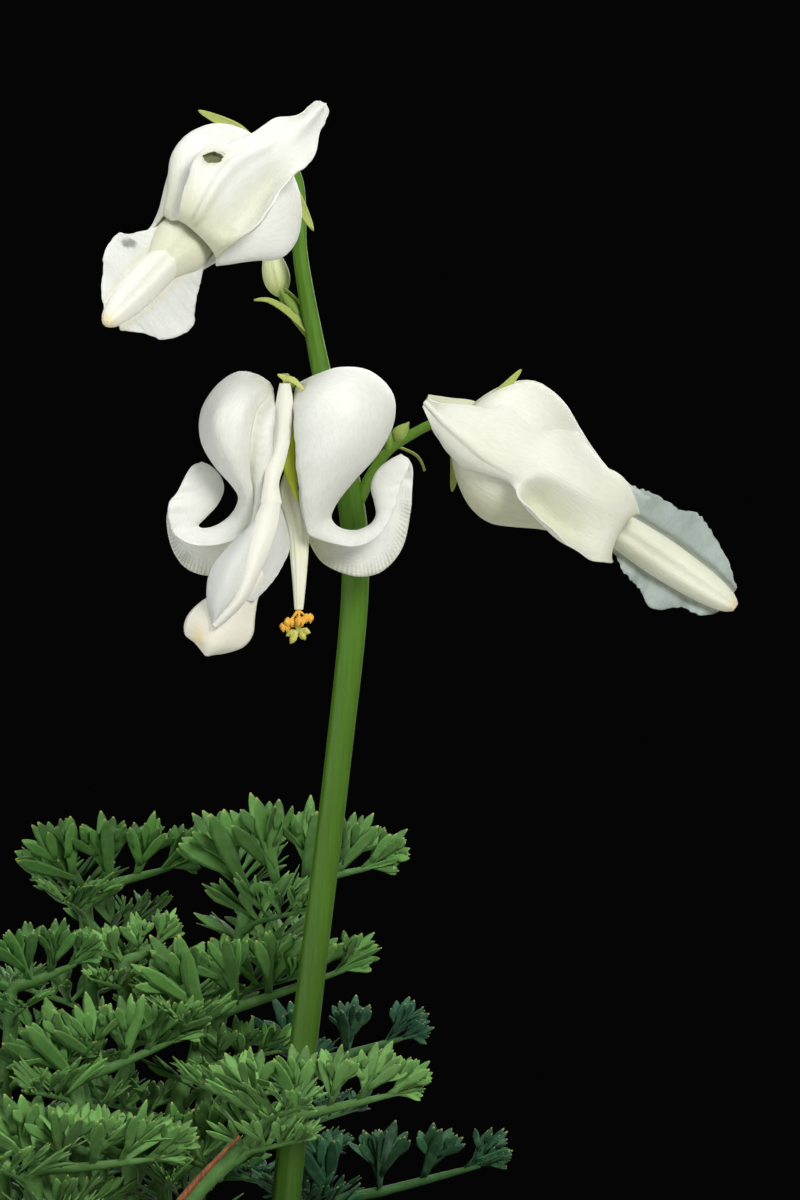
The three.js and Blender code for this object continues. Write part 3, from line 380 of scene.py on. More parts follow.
def shaded(tree, share, body, pattern, *stops):
    """Darkens a colour by a ramp over a pattern."""
    return blended(tree, share, body, ramp(tree, pattern, *stops), "MULTIPLY")


def paint(tree, shader, colour, roughness, specular=0.5, sheen=0.0):
    feed(tree, colour, shader.inputs["Base Color"])
    feed(tree, roughness, shader.inputs["Roughness"])
    feed(tree, specular, shader.inputs["Specular IOR Level"])
    feed(tree, sheen, shader.inputs["Sheen Weight"])


def bump(tree, shader, *heights):
    """heights are (height, depth in mm); each is laid over the one before it."""
    before = None
    for height, depth in heights:
        node = tree.nodes.new("ShaderNodeBump")
        node.inputs["Distance"].default_value = depth * MM
        feed(tree, height, node.inputs["Height"])
        if before:
            feed(tree, before, node.inputs["Normal"])
        before = node.outputs["Normal"]
    feed(tree, before, shader.inputs["Normal"])
    return before


def mixed_surface(tree, first, second, share):
    both = tree.nodes.new("ShaderNodeMixShader")
    feed(tree, share, both.inputs[0])
    feed(tree, first.outputs[0], both.inputs[1])
    feed(tree, second.outputs[0], both.inputs[2])
    feed(tree, both.outputs[0], tree.nodes["Material Output"].inputs["Surface"])
    return both


def let_light_through(tree, shader, colour, share, normal):
    """Mixes in light that shines through a thin leaf or petal from behind."""
    glow = tree.nodes.new("ShaderNodeBsdfTranslucent")
    feed(tree, colour, glow.inputs["Color"])
    feed(tree, normal, glow.inputs["Normal"])
    return mixed_surface(tree, shader, glow, share)


def let_see_through(tree, surface, share):
    """Mixes in a clear film, for petals as thin as wet paper."""
    mixed_surface(tree, surface, tree.nodes.new("ShaderNodeBsdfTransparent"), share)


# %% [markdown]
# A bleeding heart's petal is white, waxy and a little spongy. Light that enters it is spread
# inside, so its shaded hollows turn a soft olive grey instead of black; here that olive is
# painted shade, laid into the colour of hollows and insides. Fine veins run from base to tip,
# closer together at the claw. The veins here are a noise that is stretched a lot along the
# petal. It reads the attributes "along" and "across" instead of the point's place in space,
# so the veins bend with the petal and draw together where it narrows.

# %% Petal finish
VEINS_ACROSS, VEINS_ALONG = 34, 5
MARGIN_RIDGES = 125
GREY_SPOT = (0.30, 0.32, 0.29)


def petal_finish(name, white, hollow, through=0.25, clear=0.0, vein_depth=0.05):
    """white turns to hollow where the petal's tint says so; clear is how much film shows."""
    finish, tree, shader = new_finish(name)
    veins = noise(tree, place_on_sheet(tree, VEINS_ACROSS, VEINS_ALONG), 1.6, 2.0, 0.6)
    cells = noise(tree, place_in_mm(tree), 2.2, 3.0, 0.6)
    cloud = noise(tree, place_in_mm(tree), 0.16, 2.0)
    body = blended(tree, attribute(tree, "tint"), white, hollow)
    body = shaded(tree, 0.5, body, veins, (0.3, 0.86), (0.62, 1.0))
    body = shaded(tree, 0.35, body, cloud, (0.35, (0.93, 0.94, 0.88)), (0.65, 1.0))

    edge = attribute(tree, "edge")
    wave = maths(tree, "SINE", maths(tree, "MULTIPLY", attribute(tree, "along"), MARGIN_RIDGES))
    wave = maths(tree, "ADD", maths(tree, "MULTIPLY", wave, 0.5), 0.5)
    ridges = maths(tree, "MULTIPLY", wave, edge)
    body = blended(tree, edge, body, (0.88, 0.89, 0.82), "MULTIPLY")
    body = shaded(tree, 0.8, body, ridges, (0.0, 1.0), (0.9, 0.88))
    body = blended(tree, attribute(tree, "spot"), body, GREY_SPOT)

    paint(tree, shader, body, ramp(tree, cells, (0.3, 0.42), (0.7, 0.58)), 0.35, 0.12)
    normal = bump(tree, shader, (veins, vein_depth), (cells, 0.012), (ridges, 0.05))
    surface = let_light_through(tree, shader, body, through, normal)
    if clear:
        let_see_through(tree, surface, clear)
    return finish


# on the outer petals the second colour is mostly painted shade: olive in hollows, insides and shaded petals
outer_petal_finish = petal_finish("outer_petal", (0.86, 0.875, 0.835), (0.68, 0.69, 0.47), 0.22)
inner_petal_finish = petal_finish("inner_petal", (0.84, 0.855, 0.71), (0.86, 0.74, 0.46))
bud_petal_finish = petal_finish("bud_petal", (0.85, 0.87, 0.70), (0.56, 0.66, 0.16))
slipped_petal_finish = petal_finish("slipped_petal", (0.90, 0.90, 0.82), (0.90, 0.78, 0.46), vein_depth=0.03)
# on the crests the second colour is painted shade, laid along their foot beside the boat
wing_finish = petal_finish("petal_wing", (0.56, 0.65, 0.62), (0.24, 0.25, 0.16), 0.35, 0.40, 0.10)
white_wing_finish = petal_finish("white_petal_wing", (0.84, 0.86, 0.83), (0.80, 0.80, 0.64), 0.3, 0.07, 0.08)


# %% [markdown]
# An outer petal is swept along its keel, the line where it is folded in two. Each row of the
# tables gives a point of the keel, how far from it the two margins lie, how wide each half is
# and how far it wraps round. The first rows form the pouch of the heart, the middle ones its
# narrow waist, and the last ones the blade that bends back over the pouch. A petal could be
# sculpted too, but a row of numbers can be measured on a real bloom and moved on its own, and
# the surface through all the rows stays smooth.

# %% The bloom's own frame
class BloomFrame:
    """out points to the keel of one outer petal, along points from the base to the tip."""

    def __init__(self, base, out, along, size):
        self.base, self.out, self.along, self.size = base, unit(out), unit(along), size
        self.across = np.cross(self.out, self.along)

    def turned(self):
        return BloomFrame(self.base, -self.out, self.along, self.size)

    def at(self, r, u, w):
        r, u, w = (np.asarray(value, float)[..., None] for value in (r, u, w))
        return self.base + self.size * (r * self.out + u * self.along + w * self.across)


top_bloom = BloomFrame(vec(3.7, -3, 267.9), vec(0.499, -0.69, 0.525), vec(-0.475, -0.724, -0.5), 0.93)
right_bloom = BloomFrame(vec(25.5, -1, 242), vec(0, -1, 0), vec(0.832, 0, -0.555), 1)
central_bloom = BloomFrame(vec(7.1, -10, 247), vec(1, 0, 0), vec(0, 0, -1), 1)

# %% Outer petals: the tables
# Each row: keel r, u, w; how far the margins lie from the keel in r and u, given once for
# both halves of the petal or once for each; the two half widths; the wrap in degrees.
bent_back_petal = [
    [1.2, 0.2, 0, -0.4, 0.5, 0.9, 0.9, 90],
    [3.2, -0.7, 0, -2.6, 3.0, 3.1, 2.5, 115],
    [5.8, -1.2, 0, -5.2, 5.2, 5.7, 3.8, 128],
    [8.2, -0.2, 0, -7.6, 5.3, 7.4, 5.1, 135],
    [9.5, 2.2, 0, -8.9, 3.9, 7.7, 6.2, 137],
    [9.4, 5.2, 0, -8.8, 2.4, 7.3, 6.4, 137],
    [8.0, 8.2, 0, -7.4, 1.2, 6.2, 5.4, 133],
    [6.0, 10.8, 0, -5.3, 0.6, 5.2, 4.2, 128],
    [4.3, 13.0, 0, -3.5, 0.4, 4.5, 3.4, 120],
    [3.2, 14.9, 0, -2.2, 0.5, 4.0, 2.8, 108],
    [3.1, 16.4, 0, -1.6, 1.2, 3.9, 2.7, 95],
    [4.2, 17.4, 0, -0.8, 1.4, 4.2, 2.9, 82],
    [5.9, 17.2, 0, 0.5, 1.4, 4.4, 3.2, 74],
    [7.4, 15.6, 0, 1.6, 1.2, 4.6, 3.4, 70],
    [8.5, 13.0, 0, 1.8, 0.8, 4.6, 3.6, 68],
    [9.6, 9.8, 0, 1.5, 0.4, 4.2, 3.4, 66],
    [10.6, 6.2, 0, 1.1, 0.2, 3.5, 3.1, 64],
    [11.0, 2.4, 0, 0.9, 0.1, 3.4, 3.0, 62],
    [10.7, -1.0, -0.2, 0.8, 0, 2.5, 2.3, 62],
    [10.1, -3.6, -0.2, 0.6, -0.2, 1.1, 1.4, 60],
    [9.7, -5.2, -0.1, 0.2, -0.1, 0.4, 0.5, 60],
]

# The right bloom shows this petal's blade lying over its own pouch: the upper half drapes
# down, and the lower half flares out as a spoon near the mouth.
spoon_petal = bent_back_petal[:9] + [
    [3.2, 14.9, 0.3, -2.2, 0.5, 3.8, 3.2, 108],
    [3.1, 16.4, 0.5, -1.6, 1.0, -1.6, 1.0, 3.0, 3.2, 95],
    [4.2, 17.6, 0.6, -0.8, 1.0, -0.6, 1.3, 2.0, 3.6, 82],
    [6.0, 17.6, 0.8, -1.2, 0.6, 1.0, 1.1, 2.1, 4.1, 76],
    [7.6, 15.9, 1.1, -2.6, 0.2, 1.8, 0.9, 3.2, 5.1, 76],
    [8.8, 13.2, 1.2, -4.4, 0, 2.0, 0.5, 3.6, 5.5, 76],
    [9.6, 10.2, 1.1, -5.2, 0, 1.8, 0.1, 4.5, 4.6, 76],
    [10.1, 7.8, 0.5, -5.2, 0, 1.4, -0.2, 5.6, 3.5, 76],
    [10.5, 6.0, -0.9, -5.0, 0, -0.5, 0, 7.0, 1.2, 74],
    [10.9, 2.8, -1.2, -4.8, 0, -1.3, 0, 7.4, 1.9, 72],
    [11.1, 0.3, -0.9, -2.4, 0, -1.2, 0, 4.4, 2.3, 70],
    [10.9, -2.4, -0.6, -0.9, 0, -0.9, 0, 2.6, 1.9, 66],
    [10.5, -4.4, -0.2, 0.3, 0, 0.3, 0, 1.0, 1.0, 62],
    [10.2, -5.4, 0, 0.3, 0, 0.3, 0, 0.6, 0.5, 60],
]

# The top bloom is seen more from its mouth. Its near pouch is flatter, and its blade turns
# up to a narrow tip with one margin folded out.
upturned_petal = [
    [1.2, 0.2, 0, -0.4, 0.5, 0.9, 0.9, 90],
    [2.4, -0.4, 0, -1.8, 2.2, 3.2, 3.6, 115],
    [3.8, -0.3, 0.3, -3.2, 3.5, 5.2, 6.0, 128],
    [5.0, 0.8, 0.4, -4.4, 3.8, 6.1, 7.1, 135],
    [5.8, 2.8, 0.5, -5.2, 3.4, 7.2, 7.8, 137],
    [6.1, 5.4, 0.5, -5.5, 2.2, 8.1, 8.1, 137],
    [5.8, 8.2, 0.4, -5.2, 1.2, 8.2, 7.7, 133],
    [5.0, 10.8, 0.2, -4.3, 0.6, 6.8, 6.3, 128],
    [4.2, 13.0, 0.2, -3.4, 0.4, 5.4, 4.9, 120],
    [3.4, 14.6, 0.2, -2.4, 0.4, 4.4, 4.0, 108],
    [3.3, 15.7, 0.4, -1.8, -0.3, -1.4, 0.2, 3.6, 3.0, 95],
    [4.2, 16.1, 0.4, -0.6, -0.4, -1.0, 0.2, 3.4, 2.6, 82],
    [5.6, 15.8, 0.4, 0.9, 0.0, -1.2, 0.3, 3.8, 3.3, 74],
    [6.8, 14.4, 0.2, 1.7, 0.8, -1.4, 0.4, 4.8, 4.2, 72],
    [7.8, 12.0, 0.1, 1.9, 0.8, -1.6, 0, 4.9, 5.4, 72],
    [8.6, 9.4, 0.1, 1.4, 0.4, -1.6, 0, 4.2, 5.6, 70],
    [9.3, 7.0, 0.5, 0.8, 0, -1.2, 0, 3.7, 4.5, 68],
    [9.9, 4.6, 0.8, 0.5, 0, -0.6, 0, 3.5, 3.6, 66],
    [10.4, 2.2, 0.95, 0.5, 0, -0.2, 0, 2.9, 3.4, 64],
    [10.6, 0.3, 0.95, 0.5, 0, 0.2, 0, 1.9, 1.8, 62],
    [10.6, -2.0, 0.85, 0.4, 0, 0.3, 0, 1.3, 1.3, 62],
    [10.3, -3.7, 0.8, 0.2, 0, 0.2, 0, 1.25, 1.25, 50],
    [10.1, -4.5, 0.8, 0.1, 0, 0.1, 0, 0.95, 0.95, 40],
    [9.9, -4.95, 0.8, 0, 0, 0, 0, 0.3, 0.3, 30],
]

# The top bloom's far petal is mostly hidden.
tucked_petal = [
    [1.2, 0.2, 0, -0.4, 0.5, 0.9, 0.9, 90],
    [2.4, -0.5, 0, -1.8, 2.3, 3.4, 3.4, 115],
    [3.8, -0.6, 0, -3.2, 3.8, 5.4, 5.2, 128],
    [5.0, 0.6, 0, -4.4, 4.0, 6.4, 6.2, 135],
    [5.4, 2.8, 0, -4.8, 3.2, 6.6, 6.0, 137],
    [5.2, 5.6, 0, -4.6, 2.0, 6.0, 5.4, 137],
    [4.8, 8.4, 0, -4.2, 1.0, 5.2, 4.6, 133],
    [4.2, 10.9, 0, -3.5, 0.5, 4.4, 4.0, 128],
    [3.6, 13.0, 0, -2.8, 0.4, 3.9, 3.6, 120],
    [3.0, 14.9, 0, -2.0, 0.5, 3.6, 3.3, 108],
    [3.1, 16.4, 0, -1.6, 1.2, 3.8, 3.4, 95],
    [4.2, 17.4, 0, -0.8, 1.8, 4.0, 3.9, 82],
    [5.7, 16.8, 0, 0.5, 2.0, 4.3, 4.4, 74],
    [6.6, 14.8, 0, 1.4, 1.4, 4.4, 4.6, 70],
    [7.0, 12.0, 0, 1.6, 0.8, 4.2, 4.2, 68],
    [7.2, 9.0, 0, 1.4, 0.4, 3.6, 3.6, 66],
    [7.3, 6.0, 0, 1.0, 0.2, 2.9, 2.9, 64],
    [7.2, 3.4, 0, 0.6, 0, 1.8, 1.8, 62],
    [7.0, 1.8, 0, 0.2, -0.1, 0.5, 0.5, 60],
]

# The central bloom's petals are seen from the side. Beyond the waist the half that faces
# the viewer is a narrow rolled strip, and the other half flares out below it.
curled_right_petal = [
    [1.5, 0.2, 0, -0.5, 0.5, 0.9, 0.9, 90],
    [3.2, -0.6, 0, -2.3, 2.5, 3.4, 3.4, 115],
    [5.6, -1.3, 0, -4.7, 4.9, 5.6, 5.6, 128],
    [8.4, -0.9, 0, -7.4, 6.1, 6.8, 6.8, 135],
    [10.5, 1.2, 0, -9.4, 5.6, 7.0, 7.0, 137],
    [10.6, 4.0, 0, -9.4, 4.6, 6.6, 6.6, 135],
    [9.1, 7.0, 0, -7.7, 3.6, 5.4, 5.4, 130],
    [6.8, 9.6, 0, -5.2, 3.0, 4.2, 4.2, 122],
    [5.0, 11.9, 0, -3.2, 2.3, -3.0, 2.3, 3.4, 3.2, 108],
    [4.4, 13.5, 0, -2.0, 2.6, -1.9, 1.7, 3.0, 2.6, 98],
    [5.3, 14.6, 0, -1.4, 3.6, -0.9, 1.3, 2.8, 1.7, 94],
    [7.0, 14.9, 0, 0, 4.5, -0.2, 1.4, 2.8, 1.3, 90],
    [8.5, 14.3, 0, 1.1, 4.6, 0.2, 1.4, 2.7, 1.2, 88],
    [9.2, 13.2, 0, 2.4, 3.4, 0.9, 0.9, 2.5, 1.1, 86],
    [9.0, 11.8, 0, 3.4, 1.5, 2.0, 0.3, 2.2, 1.1, 82],
    [8.7, 10.4, 0, 3.9, 0.4, 2.7, 0.1, 1.9, 1.0, 78],
    [9.2, 9.0, 0, 3.5, 0.2, 2.8, 0.1, 1.5, 0.9, 75],
    [10.3, 8.0, 0, 2.3, 0.3, 2.0, 0.2, 0.9, 0.7, 72],
    [11.6, 7.3, 0, 0.6, 0.3, 0.6, 0.3, 0.4, 0.4, 70],
]

curled_left_petal = [
    [1.6, 0.2, 0, -0.4, 0.5, 0.9, 0.9, 90],
    [2.9, -0.6, 0, -1.7, 2.5, 3.0, 3.0, 115],
    [4.8, -0.8, 0, -3.4, 4.2, 5.2, 5.2, 128],
    [6.8, 0.6, 0, -5.3, 4.4, 6.5, 6.5, 135],
    [8.2, 3.0, 0, -6.6, 3.6, 6.8, 6.8, 137],
    [8.2, 5.8, 0, -6.3, 2.6, 6.3, 6.3, 135],
    [6.9, 8.2, 0, -4.7, 1.9, 5.2, 5.2, 130],
    [5.3, 10.0, 0, -2.8, 1.9, 4.0, 4.0, 122],
    [4.5, 11.3, 0, -1.4, 2.3, -1.6, 2.6, 3.2, 3.2, 110],
    [4.8, 12.6, 0, -0.8, 2.4, -1.4, 3.6, 2.4, 2.8, 98],
    [5.7, 13.7, 0, -0.5, 2.0, -1.0, 4.3, 1.7, 2.7, 94],
    [7.0, 14.5, 0, 0.2, 1.7, 0.2, 4.8, 1.4, 2.7, 90],
    [8.3, 14.7, 0, 1.0, 1.4, 1.4, 4.0, 1.2, 2.6, 88],
    [8.8, 14.2, 0, 2.2, 0.9, 2.4, 2.6, 1.2, 2.2, 86],
    [8.0, 13.3, 0, 3.6, 0, 3.8, 0.8, 1.2, 1.6, 84],
    [6.9, 12.1, 0, 4.6, -0.2, 4.6, 0, 1.3, 1.2, 80],
    [6.3, 10.7, 0, 4.4, 0.2, 4.4, 0.2, 1.2, 1.0, 76],
    [6.6, 9.4, 0, 3.4, 0.1, 3.4, 0.1, 1.0, 0.8, 74],
    [7.5, 8.5, 0, 1.9, 0, 1.9, 0, 0.7, 0.6, 72],
    [8.4, 8.1, 0, 0.4, 0, 0.4, 0, 0.4, 0.4, 70],
]

# %% Outer petals: the sweep
PETAL_STEPS = 140
PETAL_HALF_COLUMNS = 22
PETAL_MIDDLE_THICKNESS = 0.42
PETAL_EDGE_THICKNESS = 0.12
FULL_ROW = 10
RIPPLES = 9.3
SMALL_RIPPLES = 21.7
FOOT_TINT = 0.7
# painted shade: olive on the inside face of the pouch, and olive per mm that a hollow sinks
INSIDE_SHADE_TINT = 0.75
SHADE_TINT_PER_MM_SUNK = 0.22
VEIN_PATTERNS = 6


def filled(rows):
    """Rows that give the margin once are made as long as those that give it for each half."""
    return [row if len(row) == FULL_ROW else [*row[:5], *row[3:]] for row in rows]


def mirrored(rows):
    """The same petal with its two halves changed over."""
    return [[*row[:3], *row[5:7], *row[3:5], row[8], row[7], row[9]] for row in filled(rows)]


def outer_petal_grid(rows, bloom):
    stations = smooth_rows(filled(rows), PETAL_STEPS).T[..., None]
    r, u, w, r_one, u_one, r_other, u_other, half_one, half_other, degrees = stations
    across = np.linspace(-1, 1, 2 * PETAL_HALF_COLUMNS + 1)[None, :]
    wrap = np.radians(degrees)
    turn = np.abs(across) * wrap
    inward = (1 - np.cos(turn)) / (1 - np.cos(wrap))
    r = r + np.where(across > 0, r_one, r_other) * inward
    u = u + np.where(across > 0, u_one, u_other) * inward
    w = w + np.sign(across) * np.where(across > 0, half_one, half_other) * np.sin(turn)
    along = np.linspace(0, 1, PETAL_STEPS)[:, None] + 0 * across
    return bloom.at(r, u, w), along, across + 0 * along


def raised(grid, height):
    """Moves a grid along its own surface normal by height, in millimetres."""
    return grid + surface_normal(grid) * height[..., None]


def hill(value, middle, width):
    return np.exp(-(((value - middle) / width) ** 2))


def between(value, low, high, softness):
    rise = smooth_step(low - softness, low + softness, value)
    fall = smooth_step(high - softness, high + softness, value)
    return rise * (1 - fall)


def frilled_height(along, across):
    """A soft ripple that grows towards the margins, mostly on the blade."""
    blade = smooth_step(0.5, 0.62, along)
    edge = np.abs(across) ** 6 * (1 - 0.9 * smooth_step(0.86, 0.96, along))
    wave = np.sin(2 * math.pi * (RIPPLES * along + 0.7 * across))
    wave = wave + 0.6 * np.sin(2 * math.pi * SMALL_RIPPLES * along)
    return edge * (0.05 + 0.09 * blade) * wave


def edge_thickness(across):
    return mix(PETAL_MIDDLE_THICKNESS, PETAL_EDGE_THICKNESS, np.abs(across) ** 1.5)


def make_outer_petal(name, rows, bloom, relief=None, extra=None, painted_shade=0.0):
    """extra may add to the numbers stored in the petal; the last number is painted shade, which turns its
    white towards olive.
    """
    grid, along, across = outer_petal_grid(rows, bloom)
    fold = relief(along, across) if relief else 0 * along
    grid = raised(grid, frilled_height(along, across) + fold)
    foot = FOOT_TINT * (1 - smooth_step(0.0, 0.10, along))
    # painted shade: the white turns olive where the petal sinks into a hollow, the deeper the more
    sunk = np.where(along < 0.5, fold, -fold)
    front = np.maximum(foot, painted_shade + np.clip(SHADE_TINT_PER_MM_SUNK * sunk, 0, 0.5))
    # painted shade: the inside face of the pouch and throat is tinted olive as well
    inside = np.maximum(front, INSIDE_SHADE_TINT * between(along, 0.10, 0.56, 0.05))
    attributes = {"along": along * VEIN_PATTERNS, "across": across, "tint": front}
    if extra:
        extra(grid, along, across, attributes)
    petal = shell(grid, edge_thickness(across), attributes)
    petal[2]["tint"][: inside.size] = np.maximum(inside, attributes["tint"]).ravel()
    return make_piece(name, petal, outer_petal_finish, [name])


# %% [markdown]
# No petal is as smooth as its sweep. Each has hollows, rims and creases of its own, which are
# laid on as soft hills and dents. Along a petal, 0 is its base and 1 its tip; across it, 0 is
# the keel and -1 and 1 are the margins. The number in front of each is its height in mm.

# %% Outer petals: folds and hollows of single petals
def spoon_relief(along, across):
    """The hollow of the spoon on the lower half, with a rolled rim."""
    window = smooth_step(0.56, 0.66, along) * (1 - smooth_step(0.69, 0.76, along))
    hollow = -1.9 * window * hill(across, -0.52, 0.30)
    rim = 0.5 * window * hill(across, -0.97, 0.14)
    brow = 0.5 * window * hill(across, 0.0, 0.14)
    lower_half = smooth_step(-1.0, -0.8, across) * (1 - smooth_step(-0.2, 0.1, across))
    wall = 0.4 * hill(along, 0.74, 0.02) * lower_half
    crease = 0.3 * smooth_step(0.76, 0.84, along) * hill(across, 0, 0.10)
    return hollow + rim + brow + wall + crease


def painted_pouch_shade(grid, along, across, attributes):
    """Painted shade: the lower half of the pouch lies in the shade of the blade and is tinted olive."""
    shade = 0.85 * between(along, 0.0, 0.55, 0.04) * smooth_step(0.1, -0.5, across)
    attributes["tint"] = np.maximum(attributes["tint"], shade)


def upturned_relief(along, across):
    """A deep spoon beside the mouth, a crease on its left and a fold up to the tip."""
    hollow = -1.8 * between(along, 0.53, 0.71, 0.04) * hill(across, 0.42, 0.30)
    rim = 0.5 * between(along, 0.52, 0.74, 0.03) * hill(across, 0.95, 0.12)
    crease = 0.8 * between(along, 0.50, 0.71, 0.04) * hill(across, -0.28, 0.08)
    fold = 0.6 * between(along, 0.78, 0.90, 0.05) * hill(across, -0.1, 0.22)
    dip = -0.5 * between(along, 0.59, 0.70, 0.03) * hill(across, -0.55, 0.2)
    return hollow + rim + crease + fold + dip


def ribbon_relief(along, across):
    """The left pouch is dented beside its margin, which stands out as a ribbon."""
    pouch = between(along, 0.06, 0.48, 0.04)
    dent = pouch * (1.3 * hill(across, 0.885, 0.055) + 0.8 * hill(across, 0.76, 0.12))
    ribbon = -0.5 * between(along, 0.05, 0.62, 0.04) * hill(across, 0.985, 0.045)
    knob = -0.45 * hill(along, 0.20, 0.05) * hill(across, 0.42, 0.10)
    return dent + ribbon + knob


def flare(side):
    """Marks the thin ridged margin of a curl, on one side of its keel."""
    def mark(grid, along, across, attributes):
        attributes["edge"] = between(along, 0.50, 0.80, 0.03) * smooth_step(0.74, 1.0, side * across)
    return mark


# %% [markdown]
# An insect has eaten a small oval out of the top bloom's near petal. The hole is cut through
# the petal with a solid of the same outline. Behind it sits a dark olive dish of painted shade,
# for the shade seen through the hole; it is a few rings of that outline, smaller and deeper
# one after the other.

# %% Outer petals: the place an insect has bitten
BITE_HALF_WIDTH = 0.98
BITE_HALF_HEIGHT = 0.55
SHADE_DISH_THICKNESS = 0.15
# depth of the dish of painted shade behind the petal's front, and share of the bite's width
shade_dish_rings = [(0.55, 1.35), (0.8, 1.0), (0.95, 0.6), (1.0, 0.15)]
# its depth is found on the petal, when that is made
bite = vec(0.0, 0, 269.3)


def oval_distance(grid, centre, half_width, half_height):
    """Seen from the front, 0 in the middle of an oval and 1 on its outline."""
    return np.hypot((grid[..., 0] - centre[0]) / half_width, (grid[..., 2] - centre[2]) / half_height)


def bitten_margin_and_roll_shade(grid, along, across, attributes):
    """The skin round the bite has turned a pale olive; the margin's left roll is tinted olive as painted
    shade.
    """
    away = oval_distance(grid, bite, 1.5, 0.95)
    ring = np.where(along > 0.5, 0.7 * hill(away, 0.5, 0.6), 0)
    # painted shade: the left roll faces away from the light and is tinted olive
    painted_roll_shade = 0.65 * between(along, 0.28, 0.58, 0.05) * smooth_step(-0.35, -0.75, across)
    attributes["tint"] = np.maximum(attributes["tint"], np.maximum(ring, painted_roll_shade))
    bite[1] = np.where((along > 0.5) & (away < 0.4), grid[..., 1], np.inf).min()


def bite_outline(depth, widening):
    angles = angles_round(40)
    ragged = widening * (1 + 0.06 * np.sin(5 * angles) + 0.04 * np.sin(9 * angles + 1))
    x = BITE_HALF_WIDTH * ragged * np.cos(angles)
    z = BITE_HALF_HEIGHT * ragged * np.sin(angles)
    return bite + np.stack([x, 0 * angles + depth, z], axis=1)


def cut_away(piece, name, rings):
    """Takes the shape inside the rings out of a piece and keeps the result."""
    points, faces = tube(rings)
    cutter = new_object(name, points, faces, piece.data.materials[0])
    cut = piece.modifiers.new(name, "BOOLEAN")
    cut.operation = "DIFFERENCE"
    cut.object = cutter
    shape = piece.evaluated_get(bpy.context.evaluated_depsgraph_get())
    piece.data = bpy.data.meshes.new_from_object(shape)
    piece.modifiers.clear()
    bpy.data.objects.remove(cutter)


# painted shade: a dark olive dish behind the bite stands for the shade seen through the hole
def shade_dish_finish():
    finish, tree, shader = new_finish("bite_shade_dish")
    grain = noise(tree, place_in_mm(tree), 1.8, 4.0, 0.6)
    paint(tree, shader, ramp(tree, grain, (0.3, (0.10, 0.11, 0.04)), (0.7, (0.24, 0.25, 0.13))), 0.8)
    bump(tree, shader, (grain, 0.06))
    return finish


def make_shade_dish():
    front = [bite_outline(depth, widening) for depth, widening in shade_dish_rings]
    back = [ring + vec(0, SHADE_DISH_THICKNESS, 0) for ring in front[::-1]]
    skin = tube(np.array(back + front))
    make_piece("bite_shade_dish", skin, shade_dish_finish(), ["top_bloom_near_petal"])


petal = make_outer_petal("top_bloom_near_petal", upturned_petal, top_bloom, upturned_relief, bitten_margin_and_roll_shade)
cut_away(petal, "bite_cutter", np.array([bite_outline(depth, 1.0) for depth in (1.0, -1.0)]))
make_shade_dish()

# %% [markdown]
# The other five petals follow the same steps. A petal that lies in shade, as under its own
# blade, is given a number of painted shade, and its white turns towards olive.

# %% The other outer petals
# painted shade: these petals are tinted olive for the shade they lie in
make_outer_petal("top_bloom_far_petal", tucked_petal, top_bloom.turned(), painted_shade=0.1)
make_outer_petal("right_bloom_near_petal", spoon_petal, right_bloom, spoon_relief, painted_pouch_shade, 0.3)
make_outer_petal("right_bloom_far_petal", mirrored(bent_back_petal), right_bloom.turned(), painted_shade=0.8)
make_outer_petal("central_bloom_right_petal", curled_right_petal, central_bloom, extra=flare(1))
make_outer_petal(
    "central_bloom_left_petal", curled_left_petal, central_bloom.turned(), ribbon_relief, flare(-1)
)

# %% [markdown]
# Between the outer petals of a closed bloom hangs a pair of inner petals, joined at the tip
# into a narrow boat with a seam on each side. Each inner petal carries a thin frilled crest,
# so thin that it looks wet. The boat is a tube with a grooved section, and each crest is a
# shell of its own with a toothed outer edge. In the top bloom, which is seen into its mouth,
# the claws of the pair swell into a throat, tinted olive-cream as painted shade of the mouth:
# one more tube, short and wide.

# %% Inner petals: the boat and the throat
BOAT_STEPS = 90
BOAT_SIDES = 48
SEAM_DEPTH = 0.16
TIP_TINT = 0.7
THROAT_SHADE_TINT = 0.7
# u, half width, half depth
inner_boat = [
    [0.6, 0.3, 0.3],
    [4, 0.45, 0.45],
    [11, 0.8, 0.8],
    [15, 1.2, 1.2],
    [18, 1.75, 1.6],
    [23, 1.95, 1.8],
    [28, 1.65, 1.6],
    [30.8, 1.1, 1.1],
    [31.9, 0.45, 0.45],
]
throat = [
    [11, 2.0, 1.4],
    [14, 2.9, 2.5],
    [16.2, 3.1, 2.6],
    [18.2, 2.5, 2.05],
    [20.2, 1.9, 1.45],
    [22.5, 1.6, 1.2],
    [25, 1.0, 0.8],
]


def boat_parts(bloom, line):
    """A tube with a seam on each side and a peach-coloured tip."""
    rows = smooth_rows(line, BOAT_STEPS)
    angles = angles_round(BOAT_SIDES)
    dip = 1 - SEAM_DEPTH * np.abs(np.sin(angles)) ** 30
    ridge = 1 + 0.025 * np.cos(4 * angles)
    u = rows[:, 0:1] + 0 * angles
    r = -rows[:, 2:3] * np.sin(angles) * dip * ridge
    w = rows[:, 1:2] * np.cos(angles) * ridge
    points, faces = tube(bloom.at(r, u, w))
    along = np.repeat(np.linspace(0, 1, BOAT_STEPS), BOAT_SIDES)
    around = np.tile(np.sin(angles), BOAT_STEPS)
    tip = TIP_TINT * smooth_step(0.84, 0.98, along)
    return points, faces, {"along": along * 4, "across": around, "tint": tip}


# %% Inner petals: the crests
CREST_STEPS = 150
CREST_COLUMNS = 16
COARSE_TEETH = 15
FINE_TEETH = 52
# a small grey spot where the top bloom's left crest is damaged
SPOT = vec(-8.3, 0, 260.8)
